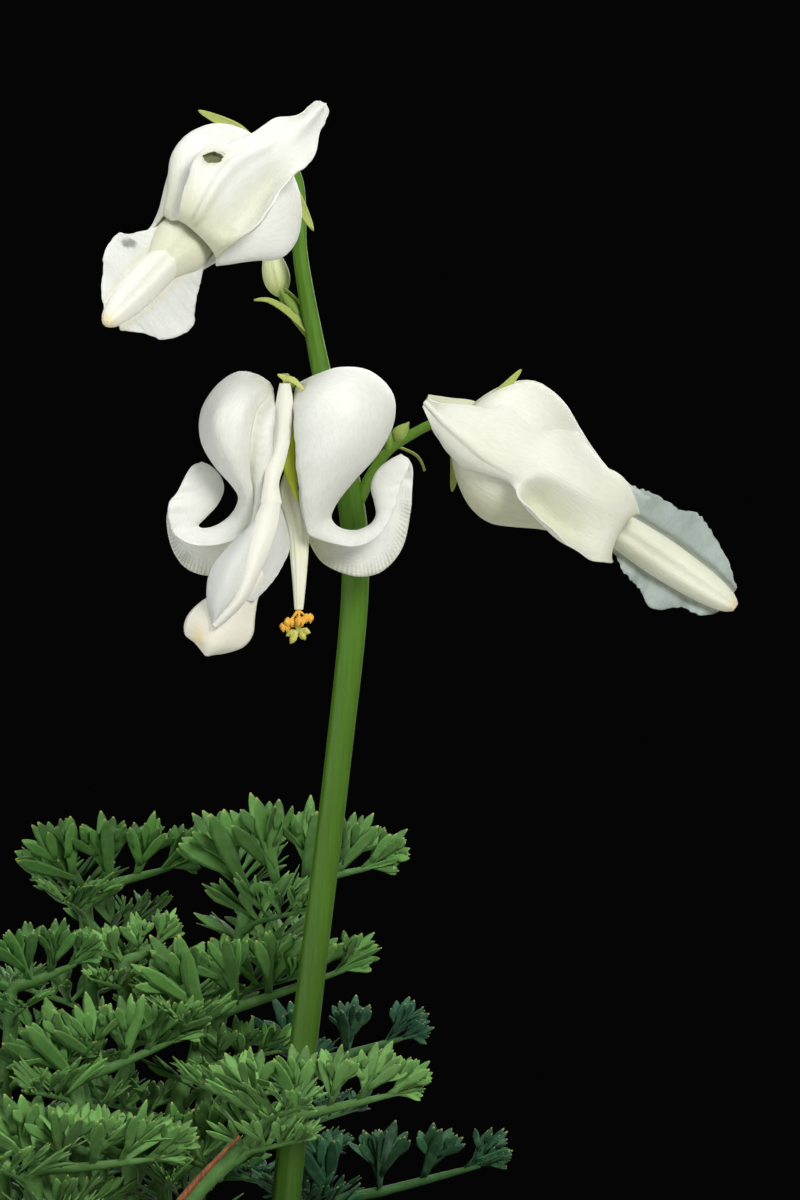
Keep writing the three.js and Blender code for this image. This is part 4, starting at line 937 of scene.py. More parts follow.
# u, half width of the crest
top_bloom_crests = [
    [[14, 3.0], [17.2, 4.2], [19.3, 4.9], [21, 6.0], [24.1, 6.9], [27.1, 5.6], [29, 3.9], [30.6, 1.6]],
    [[14, 2.6], [17, 3.6], [19.5, 4.9], [21.5, 5.7], [24.2, 5.2], [26.4, 4.2], [28.7, 2.5], [30.6, 1.2]],
]
right_bloom_crests = [
    [[13.5, 3.0], [16.2, 4.2], [18.5, 4.8], [21, 4.9], [23, 5.7], [25.4, 5.2], [28.4, 3.9], [30.9, 1.8]],
    [[16.2, 1.7], [19, 2.5], [21.1, 3.7], [23, 4.0], [25, 4.7], [27.5, 3.2], [29.4, 2.6], [30.9, 1.2]],
]


def uneven(t, count, stream):
    """A line through seeded numbers from 0 to 1, at count even places."""
    return np.interp(t, np.linspace(0, 1, count), stream.uniform(0, 1, count))


def crest_parts(bloom, side, line, jagged, stream):
    """A frilled sheet on one side of the boat; jagged says how deep its edge is toothed."""
    rows = smooth_rows(line, CREST_STEPS)
    t = np.linspace(0, 1, CREST_STEPS)[:, None]
    s = np.linspace(0, 1, CREST_COLUMNS)[None, :]
    coarse, fine = stream.uniform(0, 2 * math.pi, 2)
    tooth = 0.5 * uneven(t, COARSE_TEETH, stream)
    tooth = tooth + 0.25 * uneven(t, FINE_TEETH, stream)
    w = mix(0.5, rows[:, 1:2] + jagged * (0.3 - tooth), s)
    ruffle = (0.2 + 0.3 * jagged) * s ** 2 * np.sin(2 * math.pi * (3.4 * t + 0.25 * s) + coarse)
    ruffle = ruffle + 0.14 * jagged * s * np.sin(2 * math.pi * (11 * t - 0.6 * s) + fine)
    u = rows[:, 0:1] + 0.5 * s * np.sin(2 * math.pi * 3 * t + fine) * t * (1 - t)
    grid = bloom.at(ruffle - 0.25 * s, u + 0 * s, side * w)
    boat_edge = np.interp(rows[:, :1], [row[0] for row in inner_boat], [row[1] for row in inner_boat])
    # painted shade: the crest is tinted along its foot beside the boat, where the boat's shade falls
    shade_stripe = 0.8 * hill(w, boat_edge + 0.42, 0.26)
    spot = 0.9 * smooth_step(1.15, 0.85, oval_distance(grid, SPOT, 0.7, 0.42))
    attributes = {"along": s * 1.2 + 0 * t, "across": t * 2.2 + 0 * s, "tint": shade_stripe, "spot": spot}
    return shell(grid, mix(0.3, 0.1, s) + 0 * t, attributes)


def make_boat(bloom_name, bloom, finish):
    name = bloom_name + "_inner_petals"
    make_piece(name, boat_parts(bloom, inner_boat), finish, [name])


def make_throat():
    part = boat_parts(top_bloom, throat)
    # painted shade: the whole throat is tinted olive-cream for the shade in the bloom's mouth
    part[2]["tint"] = np.full(len(part[0]), THROAT_SHADE_TINT)
    make_piece("top_bloom_throat", part, outer_petal_finish, ["top_bloom_inner_petals"])


def make_crests(bloom_name, bloom, lines, finish, jagged, seed):
    stream = np.random.default_rng(seed)
    both = [crest_parts(bloom, side, line, jagged, stream) for side, line in zip((1, -1), lines)]
    make_piece(bloom_name + "_crests", merged(both), finish, [bloom_name + "_inner_petals"])


make_boat("top_bloom", top_bloom, slipped_petal_finish)
make_throat()
make_crests("top_bloom", top_bloom, top_bloom_crests, white_wing_finish, 0.35, 3)
make_boat("right_bloom", right_bloom, inner_petal_finish)
make_crests("right_bloom", right_bloom, right_bloom_crests, wing_finish, 1.0, 5)

# %% [markdown]
# In the open central bloom the inner petals have slipped out to the lower left. They are
# thin sheets that overlap: a narrow claw from the base, a grey wing, a white ridge and a
# cream hood at the end. A draped sheet is the natural way to make them: two edge curves and
# how far the sheet bulges between them.

# %% Draped sheets
DRAPED_STEPS = 70
DRAPED_COLUMNS = 25
DRAPED_EDGE_THICKNESS = 0.12


def at_centre(rows):
    """Points of the central bloom, from rows of [right, front, below] of its base."""
    return central_bloom.base + np.asarray(rows, float) * vec(1, -1, -1)


def draped(rows, thickness=0.3, tint=0.0, ripple=0.0, blush=0.0):
    """A sheet between two edges, bulging to the front. blush warms a patch on its left."""
    rows = smooth_rows(rows, DRAPED_STEPS)
    left, right, rise = at_centre(rows[:, :3]), at_centre(rows[:, 3:6]), rows[:, 6:]
    s = np.linspace(0, 1, DRAPED_COLUMNS)[None, :]
    t = np.linspace(0, 1, DRAPED_STEPS)[:, None]
    grid = mix(left[:, None], right[:, None], s[..., None])
    height = rise * np.sin(math.pi * s) + ripple * np.sin(2 * math.pi * (9 * t + s)) * np.abs(2 * s - 1) ** 4
    grid = grid + height[..., None] * vec(0, -1, 0)
    edge = np.abs(2 * s - 1) ** 2
    warm = np.maximum(tint, blush * hill(s, 0.24, 0.13) * hill(t, 0.68, 0.16))
    attributes = {"along": t * 5 + 0 * s, "across": s * 1.2 + 0 * t, "tint": warm + 0 * t + 0 * s}
    return shell(grid, mix(thickness, DRAPED_EDGE_THICKNESS, edge) + 0 * t, attributes)


# %% The slipped inner petals
# Each row: left edge (right, front, below), right edge (the same), bulge between them.
claw = [
    [-0.5, 2.6, 0.1, 0.5, 2.8, 0.1, 0.3],
    [-0.9, 3.2, 2.0, 0.8, 3.2, 2.0, 0.3],
    [-1.14, 3.8, 4.0, 0.70, 3.8, 4.0, 0.3],
    [-1.4, 4.2, 6.0, 0.45, 4.2, 6.0, 0.3],
    [-1.8, 4.6, 8.0, -0.1, 4.6, 8.2, 0.4],
    [-2.1, 5.2, 10.0, -0.6, 5.2, 10.0, 0.5],
    [-2.4, 5.8, 11.9, -0.3, 5.8, 11.9, 0.5],
]
ridge = [
    [-2.2, 5.8, 11.7, -0.4, 5.8, 11.7, 0.5],
    [-3.2, 6.4, 14.0, -0.7, 6.2, 14.0, 0.6],
    [-4.0, 7.0, 16.8, -1.6, 6.9, 16.8, 0.8],
    [-4.3, 7.4, 19.0, -2.6, 7.3, 19.0, 0.8],
    [-5.0, 7.6, 21.0, -3.7, 7.5, 21.2, 0.7],
    [-6.2, 7.6, 22.6, -5.2, 7.4, 22.9, 0.5],
    [-7.2, 7.4, 23.8, -6.7, 7.3, 24.2, 0.2],
]
hood = [
    [-2.6, 5.8, 17.6, -1.9, 5.6, 19.4, 0.4],
    [-5.6, 5.2, 20.2, -2.7, 5.2, 21.4, 1.5],
    [-8.2, 4.8, 21.6, -3.0, 4.8, 23.3, 2.3],
    [-9.7, 4.6, 23.2, -3.2, 4.6, 24.9, 2.4],
    [-9.9, 4.6, 24.8, -4.1, 4.6, 26.1, 2.0],
    [-8.9, 4.9, 25.7, -5.8, 4.9, 26.7, 1.3],
    [-7.9, 5.2, 26.9, -7.4, 5.2, 26.9, 0.4],
]
left_wing = [
    [-4.0, 5.2, 14.6, -2.6, 6.4, 13.2, 0.3],
    [-5.8, 5.6, 16.4, -3.0, 7.1, 16.0, 1.0],
    [-7.3, 6.0, 18.4, -3.6, 7.4, 18.6, 1.4],
    [-7.7, 6.4, 20.6, -4.5, 7.5, 20.8, 1.2],
    [-7.5, 6.9, 22.6, -6.0, 7.5, 22.5, 0.7],
    [-7.1, 7.2, 23.8, -7.0, 7.3, 23.9, 0.1],
]
right_wing = [
    [-1.0, 5.6, 12.0, -0.3, 4.8, 12.6, 0.0],
    [-1.4, 6.0, 14.6, 0.5, 4.6, 16.0, -0.5],
    [-2.3, 6.5, 17.6, -0.4, 4.9, 18.4, -0.7],
    [-3.3, 6.7, 20.0, -1.6, 5.5, 20.1, -0.4],
    [-4.4, 6.8, 21.4, -3.1, 6.2, 21.6, 0.1],
]


def make_slipped_inner_petals():
    name = "central_bloom_inner_petals"
    white = [draped(claw), draped(ridge), draped(hood, 0.35, 0.12, blush=0.8)]
    make_piece(name, merged(white), slipped_petal_finish, [name])
    wings = [draped(left_wing, 0.25, ripple=0.08), draped(right_wing, 0.25, ripple=0.06)]
    make_piece("central_bloom_inner_wings", merged(wings), white_wing_finish, [name])


make_slipped_inner_petals()

# %% [markdown]
# Behind the slipped petals the bloom's inner parts show: a bright green ovary, the pale
# stamens that lie together in a ribbed column and part at the end, their orange anthers
# dusted with pollen, and the stigma's small yellow-green horns. All of them are small tubes.
# The ovary and the column follow short rows of widths. The anthers and the horns are eggs
# whose points are shaken a little, because perfect eggs would look moulded.

# %% Finishes of the inner parts
def fleshy_finish(name, low, high, grain=1.4, roughness=0.45, depth=0.03, through=0.12):
    finish, tree, shader = new_finish(name)
    cells = noise(tree, place_in_mm(tree), grain, 4.0, 0.65)
    streaks = noise(tree, place_in_mm(tree, 3.0, 3.0, 0.5), 1.0, 2.0)
    colour = ramp(tree, streaks, (0.3, low), (0.7, high))
    paint(tree, shader, colour, roughness)
    normal = bump(tree, shader, (cells, depth), (streaks, depth))
    let_light_through(tree, shader, colour, through, normal)
    return finish


ovary_finish = fleshy_finish("ovary_green", (0.68, 0.86, 0.04), (0.80, 0.93, 0.08))
column_finish = fleshy_finish("stamen_cream", (0.83, 0.85, 0.62), (0.93, 0.94, 0.84), 1.2, 0.4, 0.03, 0.25)
anther_finish = fleshy_finish("anther_orange", (0.80, 0.36, 0.02), (0.95, 0.62, 0.10), 6.0, 0.8, 0.08, 0.05)
stigma_finish = fleshy_finish("stigma_yellow_green", (0.45, 0.46, 0.06), (0.72, 0.7, 0.22), 5, 0.6, 0.06, 0.1)


# %% Ovary and stamen column
def slim_body(rows, count, sides, ribs=0, rib_depth=0.0):
    """An upright tube along rows of [right, front, below, half width, half depth]."""
    rows = smooth_rows(rows, count)
    angles = angles_round(sides)
    profile = 1 + rib_depth * np.cos(ribs * angles)
    offset = np.zeros((count, sides, 3))
    offset[..., 0] = rows[:, 3:4] * np.cos(angles) * profile
    offset[..., 1] = rows[:, 4:5] * np.sin(angles) * profile
    return tube(at_centre(rows[:, :3])[:, None] + offset)


def make_ovary():
    rows = [
        [0.7, 2.0, 2.6, 0.2, 0.2],
        [0.6, 2.4, 5.0, 0.5, 0.45],
        [0.45, 2.5, 7.2, 0.66, 0.55],
        [0.55, 2.4, 9.0, 0.62, 0.5],
        [0.95, 2.0, 10.6, 0.34, 0.35],
        [1.2, 1.6, 11.8, 0.1, 0.1],
    ]
    name = "central_bloom_ovary"
    make_piece(name, slim_body(rows, 40, 32), ovary_finish, [name])


def make_stamen_column():
    rows = [
        [0.2, 0.8, 8.8, 0.2, 0.3],
        [0.3, 0.8, 10.4, 0.8, 0.6],
        [0.8, 0.7, 12.0, 1.35, 0.8],
        [1.2, 0.5, 13.6, 1.25, 0.95],
        [1.35, 0.3, 15.6, 1.0, 0.9],
        [1.4, 0.2, 19.5, 0.68, 0.6],
        [1.35, 0.2, 22.6, 0.42, 0.4],
    ]
    name = "central_bloom_stamen_column"
    make_piece(name, slim_body(rows, 80, 60, 10, 0.045), column_finish, [name])


make_ovary()
make_stamen_column()


# %% Anthers and stigma
def egg(start, end, radius, sides=16, rings=12, blunt=0.8, tint=0.0):
    t = np.linspace(0, 1, rings + 1)
    swell = np.maximum(0.10, np.sin(math.pi * t ** blunt))
    steps = np.concatenate([mix(start, end, t[:, None]), (radius * swell)[:, None]], axis=1)
    return stalk(steps, sides, tint)


def knobbly(part, depth, stream):
    """Shakes the points of a small body a little, so that no two look alike."""
    points, faces, attributes = part
    return points + stream.normal(0, depth, points.shape), faces, attributes


ANTHER_ENDS = [[0.0, 0.3, 24.4], [0.45, 0.6, 23.9], [2.3, 0.5, 23.5], [1.5, 0.9, 23.8], [1.0, -0.5, 24.0]]
STIGMA_HORNS = [[0.1, 0.3, 25.2], [0.5, 0.3, 26.0], [2.5, 0.2, 24.9], [2.0, 0.4, 25.6]]
GRAIN_RADIUS = 0.36
ROUGHNESS_OF_GRAINS = 0.02


def make_anthers():
    stream = np.random.default_rng(12)
    hub = at_centre([1.3, 0.2, 22.6])
    parts = []
    for place in ANTHER_ENDS:
        end = at_centre(place)
        way = [[*hub, 0.16], [*mix(hub, end, 0.55), 0.11], [*mix(hub, end, 0.95), 0.09]]
        parts.append(stalk(smooth_rows(way, 8), 8))
        for lobe in (-1, 1):
            middle = end + vec(0.2 * lobe, 0, 0.05)
            grain = egg(middle + vec(0, 0, 0.5), middle - vec(0, 0, 0.5), GRAIN_RADIUS)
            parts.append(knobbly(grain, ROUGHNESS_OF_GRAINS, stream))
    name = "central_bloom_anthers"
    make_piece(name, merged(parts), anther_finish, [name])


def make_stigma():
    stream = np.random.default_rng(14)
    hub = at_centre([1.3, 0.1, 24.5])
    parts = [egg(at_centre([1.3, 0.2, 22.9]), at_centre([1.3, 0.1, 25.3]), GRAIN_RADIUS)]
    for place in STIGMA_HORNS:
        horn = egg(hub, at_centre(place), GRAIN_RADIUS, blunt=1.4)
        parts.append(knobbly(horn, ROUGHNESS_OF_GRAINS, stream))
    name = "central_bloom_stigma"
    make_piece(name, merged(parts), stigma_finish, [name])


make_anthers()
make_stigma()

# %% [markdown]
# The flower stem is leafless, juicy and a little ribbed, deeper green at the foot and fresh
# yellow-green at the top. It is a tube through the same points as the solid, with thin side
# stalks to each bloom, small pointed bracts, young buds, and two scale-like sepals at the
# base of each bloom. A bevelled curve would give a tube too, but rings that are worked out
# here can also carry the stem's ribs and the paler tint of its buds and scales.

# %% Stem finish
FRESH_FROM_HEIGHT = 150
FRESH_OVER_HEIGHT = 110


def stem_finish_recipe(name, low, high, pale):
    """low is the colour at the foot, high at the top, and pale that of buds and scales."""
    finish, tree, shader = new_finish(name)
    streaks = noise(tree, place_in_mm(tree, 2.2, 2.2, 0.12), 1.0, 3.0)
    cells = noise(tree, place_in_mm(tree), 2.5, 4.0)
    place = tree.nodes.new("ShaderNodeSeparateXYZ")
    feed(tree, place_in_mm(tree), place.inputs[0])
    above = maths(tree, "SUBTRACT", place.outputs["Z"], FRESH_FROM_HEIGHT)
    body = ramp(tree, maths(tree, "DIVIDE", above, FRESH_OVER_HEIGHT, True), (0.0, low), (1.0, high))
    body = shaded(tree, 0.55, body, streaks, (0.3, 0.62), (0.7, 1.0))
    body = blended(tree, attribute(tree, "tint"), body, pale)
    paint(tree, shader, body, ramp(tree, cells, (0.3, 0.46), (0.7, 0.6)), 0.25)
    normal = bump(tree, shader, (streaks, 0.05), (cells, 0.012))
    let_light_through(tree, shader, body, 0.08, normal)
    return finish


stem_finish = stem_finish_recipe("stem_green", (0.03, 0.084, 0.003), (0.088, 0.22, 0.012), (0.50, 0.54, 0.16))

# %% Stem and side stalks
STEM_SIDES = 30
SOIL_TOP = 95
STALK_HOLE_DEPTH = 14
FIT_GAP = 0.3
STALK_FOOT = SOIL_TOP - STALK_HOLE_DEPTH + FIT_GAP
STALK_COLLAR = 96.5

scape_rows = [
    [4.4, -2.0, 130, 1.5],
    [6.8, -0.8, 162, 1.45],
    [9.5, 0, 186, 1.35],
    [12.3, 0, 209, 1.3],
    [14, 0, 226, 1.35],
    [13.4, 0, 236, 1.3],
    [10.6, 0, 248, 0.95],
    [8.6, 0, 259, 0.75],
    [8.5, 0.6, 264, 0.65],
    [8.0, 0.8, 267.4, 0.65],
    [6.4, -0.2, 269.4, 0.6],
    [4.4, -2.0, 268.7, 0.6],
]
to_right = [
    [13.4, 0, 233, 0.7],
    [15.6, 0, 237.4, 0.6],
    [17.2, 0, 239.8, 0.5],
    [19.4, 0, 241.4, 0.5],
    [22, -0.4, 242.7, 0.5],
    [24.4, -1, 242.8, 0.7],
]
to_centre = [
    [10.9, 0, 245.6, 0.6],
    [10.0, -3.0, 246.2, 0.45],
    [8.6, -6.8, 246.5, 0.4],
    [7.2, -9.6, 246.6, 0.5],
]
bud_stalk = [
    [9.6, 0, 251.4, 0.5],
    [8, 1.4, 253.2, 0.4],
    [6.7, 2.7, 255.6, 0.5],
]


def standing_stalk(root, radius, rows, count, sides, **shape):
    """A stalk that stands in the soil and is straight as far as its collar."""
    foot = [*root, STALK_FOOT, radius]
    collar = [*root, STALK_COLLAR, radius]
    return stalk([foot, *smooth_rows([collar, *rows], count)], sides, **shape)


def receptacle(bloom, radius):
    start, end = bloom.at(0, -1.7 * radius, 0), bloom.at(0, -0.35, 0)
    rows = [[*start, 0.6 * radius], [*mix(start, end, 0.6), radius], [*end, 0.9 * radius]]
    return stalk(smooth_rows(rows, 10), 20, 0.5)


def make_flower_stem():
    parts = [
        standing_stalk([3.4, -2.6], 1.5, scape_rows, 150, STEM_SIDES, ribs=7, rib_depth=0.035),
        stalk(smooth_rows(to_right, 40), 20, 0.05, 5, 0.04),
        stalk(smooth_rows(to_centre, 30), 20, 0.1),
        stalk(smooth_rows(bud_stalk, 20), 16, 0.15),
        receptacle(top_bloom, 0.9),
        receptacle(right_bloom, 0.9),
        receptacle(central_bloom, 0.5),
    ]
    make_piece("flower_stem", merged(parts), stem_finish, ["flower_stem"])


make_flower_stem()


# %% Bracts, buds and sepals
SCALE_STEPS = 26
SCALE_COLUMNS = 9


def scale_leaf(rows, width, up, curl=0.3, tint=0.6):
    """A small pointed scale along rows of [x, y, z]; up is the way its face looks."""
    spine = smooth_rows(rows, SCALE_STEPS)
    ahead = unit(np.gradient(spine, axis=0))
    sideways = unit(np.cross(ahead, np.asarray(up, float)))
    face = np.cross(sideways, ahead)
    t = np.linspace(0, 1, SCALE_STEPS)[:, None]
    s = np.linspace(-1, 1, SCALE_COLUMNS)
    half = width * np.sin(math.pi * np.clip(0.12 + 0.88 * t, 0, 1)) ** 0.7 * (1 - 0.25 * t) + 0.03
    grid = spine[:, None] + (half * s)[..., None] * sideways[:, None]
    grid = grid + (curl * half * s ** 2)[..., None] * face[:, None]
    along = t + 0 * s
    attributes = {"along": along, "across": s + 0 * t, "tint": np.full_like(along, tint)}
    return shell(grid, mix(0.3, 0.1, np.abs(s)) + 0 * t, attributes)


# rows of r, u, w in the frame of the bloom
top_sepals = [
    [[0.3, -1.4, -0.2], [0.6, -2.1, -2.5], [0.6, -2.2, -4.8], [0.4, -0.7, -8.6]],
    [[0.3, -1.4, 0.2], [0.4, -1.9, 2.5], [0.4, -1.2, 5.6], [0.3, 0.4, 9.2]],
]
right_sepals = [
    [[0, -1.4, 0.2], [0, -0.5, 2.0], [0, 0.3, 4.2], [0, 0.9, 7.9]],
    [[0, -1.4, -0.2], [0, -0.4, -1.8], [0, 0.6, -3.4], [0, 1.9, -6.1]],
]
central_sepals = [
    [[0.2, 0.2, -2.2], [0.0, -0.4, -2.5], [-0.7, -0.8, -2.8]],
    [[0.0, -0.4, -2.4], [0.9, -0.2, -3.0], [1.9, 0.8, -3.5]],
]


def sepal(bloom, rows, width, tint=0.75):
    return scale_leaf(bloom.at(*np.array(rows).T), width, (0, -1, 0), 0.4, tint)


long_bract = [[9.5, 0, 251.6], [8.3, -0.1, 252.8], [6.9, 0, 254.0], [5.3, 0.1, 254.9], [3.9, 0.2, 255.0]]
bud_bract = [[9.3, 0.6, 252.4], [8.3, 0.9, 254.6], [6.9, 1.0, 256.2]]
lower_bract = [[18.2, 0.2, 240.4], [20.2, 0.4, 239.4], [21, 0.4, 237.9]]


def make_small_green_parts():
    parts = [sepal(top_bloom, rows, 0.85) for rows in top_sepals]
    parts += [sepal(right_bloom, rows, 0.75) for rows in right_sepals]
    parts += [sepal(central_bloom, rows, 0.28, 1.0) for rows in central_sepals]
    parts += [
        scale_leaf(long_bract, 0.5, (0.4, -1, 1), 0.5, 0.55),
        scale_leaf(bud_bract, 0.6, (1, 0, 0.6), 0.5, 0.2),
        scale_leaf(lower_bract, 0.35, (0, 0, 1)),
        egg(vec(9.0, 0.6, 252.4), vec(6.5, 0.9, 256), 0.72, tint=0.2),
        egg(vec(17.8, 0.2, 240.6), vec(19.4, 0, 242.8), 0.85, tint=0.35),
        egg(vec(17.2, 0, 239.4), vec(17.6, -0.6, 241.9), 0.45, tint=0.2),
    ]
    make_piece("bracts_buds_sepals", merged(parts), stem_finish, ["flower_stem"])


def make_white_bud():
    """A closed bud, greenest at its base."""
    bud = egg(vec(6.6, 2.6, 255.2), vec(5.2, 2.8, 261.4), 1.36, 32, 24, 0.66)
    bud[2]["tint"] = 0.3 + 0.65 * (1 - bud[2]["along"]) ** 2
    make_piece("white_bud", bud, bud_petal_finish, ["white_bud"])


make_small_green_parts()
make_white_bud()

# %% [markdown]
# Each leaf is cut to its rib into lobes, and every lobe into narrow round-tipped fingers.
# A finger is a flattened tube: long, widest past its middle, slightly cupped, with a tiny
# yellowish tip. They are far too many to draw one by one, so one rule places them all: lobes
# stand in two rows that are folded up from the rib, and each lobe forks into a middle finger
# and two pairs of side fingers. The wider pair forks once more on the main blades; the small
# leaflets below them are plainer. Seeded numbers vary the angles, so no two lobes are alike.

# %% Leaf finish
YOUNG_GREEN = (0.25, 0.53, 0.14)
LEAF_GREEN = (0.11, 0.30, 0.055)
BLUE_GREEN = (0.022, 0.115, 0.07)
LEAF_BLOOM = (0.24, 0.46, 0.22)
YELLOW_TIP = (0.50, 0.50, 0.13)
LIGHT_IN_LEAF = (0.30, 0.48, 0.08)


def leaf_finish_recipe(name):
    finish, tree, shader = new_finish(name)
    mottle = noise(tree, place_in_mm(tree), 0.9, 4.0, 0.6)
    cells = noise(tree, place_in_mm(tree), 5.0, 3.0)
    tone = attribute(tree, "tone")
    body = ramp(tree, tone, (0.0, YOUNG_GREEN), (0.5, LEAF_GREEN), (1.0, BLUE_GREEN))
    body = shaded(tree, 0.85, body, attribute(tree, "shade"), (0.0, 0.30), (1.0, 1.0))
    body = shaded(tree, 0.5, body, mottle, (0.3, 0.72), (0.7, 1.0))
    body = blended(tree, ramp(tree, mottle, (0.45, 0.0), (0.75, 0.18)), body, LEAF_BLOOM)
    tip = ramp(tree, attribute(tree, "tip"), (0.955, 0.0), (1.0, 0.75))
    body = blended(tree, tip, body, YELLOW_TIP)
    paint(tree, shader, body, ramp(tree, cells, (0.3, 0.5), (0.7, 0.68)), 0.22, 0.04)
    normal = bump(tree, shader, (mottle, 0.05), (cells, 0.015))
    let_light_through(tree, shader, blended(tree, 0.5, body, LIGHT_IN_LEAF), 0.2, normal)
    return finish


leaf_finish = leaf_finish_recipe("leaf_blue_green")

# %% One finger of a leaf
FINGER_SIDES = 6
# place along the finger, share of the half width
finger_outline = np.array([[0, 0.5], [0.24, 0.66], [0.52, 0.94], [0.72, 1.0], [0.91, 0.56], [1.0, 0.1]])
FINGER_RINGS = len(finger_outline)


def finger_parts(fingers, tone, stream):
    """Flattened, cupped tubes, all the fingers of a leaf at once."""
    start, ahead, face, length, half = (np.array(column) for column in zip(*fingers))
    count = len(start)
    t, profile = finger_outline[:, 0], finger_outline[:, 1]
    sideways = unit(np.cross(ahead, face))
    face = np.cross(sideways, ahead)
    bend = stream.normal(0.03, 0.06, count)
    spine = start[:, None] + (length[:, None] * t)[..., None] * ahead[:, None]
    spine = spine + ((bend * length)[:, None] * t ** 2)[..., None] * face[:, None]
    angles = angles_round(FINGER_SIDES)
    width = half[:, None, None] * profile[None, :, None] * np.cos(angles)
    thick = (0.06 + 0.10 * half[:, None, None]) * profile[None, :, None] ** 0.6 * np.sin(angles)
    cup = 0.30 * width ** 2 / half[:, None, None]
    rings = spine[:, :, None] + width[..., None] * sideways[:, None, None]
    rings = rings + (thick + cup)[..., None] * face[:, None, None]
    ring_faces = tube(np.zeros((FINGER_RINGS, FINGER_SIDES, 3)))[1]
    size = FINGER_RINGS * FINGER_SIDES
    faces = [tuple(v + k * size for v in f) for k in range(count) for f in ring_faces]
    tip = np.broadcast_to(t[None, :, None], (count, FINGER_RINGS, FINGER_SIDES))
    attributes = {
        "tip": tip.ravel(),
        "shade": np.repeat(stream.uniform(0, 1, count), size),
        "tone": np.full(count * size, tone),
    }
    return rings.reshape(-1, 3), faces, attributes


# %% The rule for a leaf's lobes
LEAF_ARCH = -0.12
END_LOBE_FOOT = 0.78
END_LOBE_ANGLE = math.radians(6)
FINGER_HALF_SHARE = 0.1462
FORK = 21
# share of the reach where it starts, turn in degrees, share of the reach it is long, width
lobe_fingers = [
    (0.00, 0, 1.00, 1.0),
    (0.20, FORK, 0.72, 0.95),
    (0.24, -FORK, 0.68, 0.95),
    (0.48, 17, 0.45, 0.7),
    (0.54, -17, 0.38, 0.7),
]
small_fingers = [(0.34, 20, 0.42, 0.75), (0.62, -17, 0.2, 0.6)]


def seeded(seed):
    """A repeatable stream of numbers from 0 to 1, the same one that shaped the solids."""
    state = seed
    while True:
        state = (state * 1664525 + 1013904223) % 4294967296
        yield state / 4294967296


leaf_numbers = seeded(9)


def lobe_plan(length, lobes, spread, longest, shortest, numbers):
    """Foot along the rib, angle from it and reach of each lobe."""
    plan = []
    for i in range(lobes):
        t = i / (lobes - 0.4)
        angle = math.radians(mix(spread, 20, t) + 4 * (next(numbers) - 0.5))
        reach = mix(longest, shortest, t) * mix(0.94, 1.06, next(numbers))
        plan.append((0.9 * length * t, angle, reach))
    plan.append((END_LOBE_FOOT * length, END_LOBE_ANGLE, max(0.25 * length, 0.8 * shortest)))
    return plan


def blade_fingers(start, end, plan, fold, stream, small_ones=small_fingers):
    """The fingers of both rows of lobes along a rib from start to end."""
    length = np.linalg.norm(end - start)
    ahead = unit(end - start)
    across = unit(np.cross(ahead, vec(0, 0, 1)))
    up = np.cross(across, ahead)
    fingers = []

    def outward(side):
        return side * across * math.cos(fold) + up * math.sin(fold)

    def direction(side, angle):
        return unit(ahead * math.cos(angle) + outward(side) * math.sin(angle))

    def grow(point, side, angle, reach, width, face):
        heading = unit(direction(side, angle) + stream.normal(0, 0.08, 3))
        fingers.append((point, heading, unit(face + stream.normal(0, 0.22, 3)), reach, width))

    for side in (1, -1):
        for foot, angle, reach in plan:
            face = unit(np.cross(ahead, outward(side)) + stream.normal(0, 0.25, 3))
            root = start + ahead * foot
            half = FINGER_HALF_SHARE * reach ** 0.75
            for begin, turn, share, width in lobe_fingers:
                point = root + direction(side, angle) * begin * reach
                point = point + up * LEAF_ARCH * (begin * reach * math.sin(angle)) ** 2 / length
                turned = angle + math.radians(turn + stream.normal(0, 4))
                long = share * reach * stream.uniform(0.9, 1.05)
                grow(point, side, turned, long, half * width, face)
                forks = small_ones if abs(turn) == FORK else []
                for sub_begin, sub_turn, sub_share, sub_width in forks:
                    sub_point = point + direction(side, turned) * sub_begin * long
                    sub_turn = math.copysign(1, turn) * sub_turn + stream.normal(0, 4)
                    sub_angle = turned + math.radians(sub_turn)
                    grow(sub_point, side, sub_angle, sub_share * reach, half * sub_width, face)
    return fingers


# %% A whole leaf
LEAFLET_LOBES = 4
LEAFLET_SPREAD = 98
STALK_RADIUS = 0.95
# share of the rib's length and radius there
rib_radii = [(0.3, 0.5), (0.6, 0.38), (0.84, 0.22)]
# share of the way up the stalk, turn from the main blade in degrees
leaflet_places = [(0.93, 115), (0.86, -100), (0.74, 60), (0.62, -45), (0.5, 150)]


def side_leaflets(way, start, end, size, stream):
    """Smaller blades that branch off the stalk below the main blade, and their own short stalks."""
    ahead = unit((end - start) * vec(1, 1, 0))
    fingers, stalks = [], []
    for share, turn in leaflet_places:
        base = mix(way, start, share)
        angle = math.radians(turn + stream.normal(0, 14))
        c, s = math.cos(angle), math.sin(angle)
        rise = stream.uniform(0.35, 0.8)
        heading = unit(vec(ahead[0] * c - ahead[1] * s, ahead[0] * s + ahead[1] * c, rise))
        near = base + heading * size * stream.uniform(0.28, 0.42)
        far = near + unit(heading * vec(1, 1, 0.35)) * size * stream.uniform(0.75, 0.95)
        steps = [[*base, 0.42], [*mix(base, near, 0.6), 0.36], [*near, 0.32], [*mix(near, far, 0.9), 0.2]]
        stalks.append(stalk(smooth_rows(steps, 10), 8))
        numbers = iter(stream.uniform(0, 1, 20))
        length = np.linalg.norm(far - near)
        plan = lobe_plan(length, LEAFLET_LOBES, LEAFLET_SPREAD, 0.62 * size, 0.4 * size, numbers)
        fingers += blade_fingers(near, far, plan, math.radians(stream.uniform(30, 50)), stream, [])
    return fingers, stalks


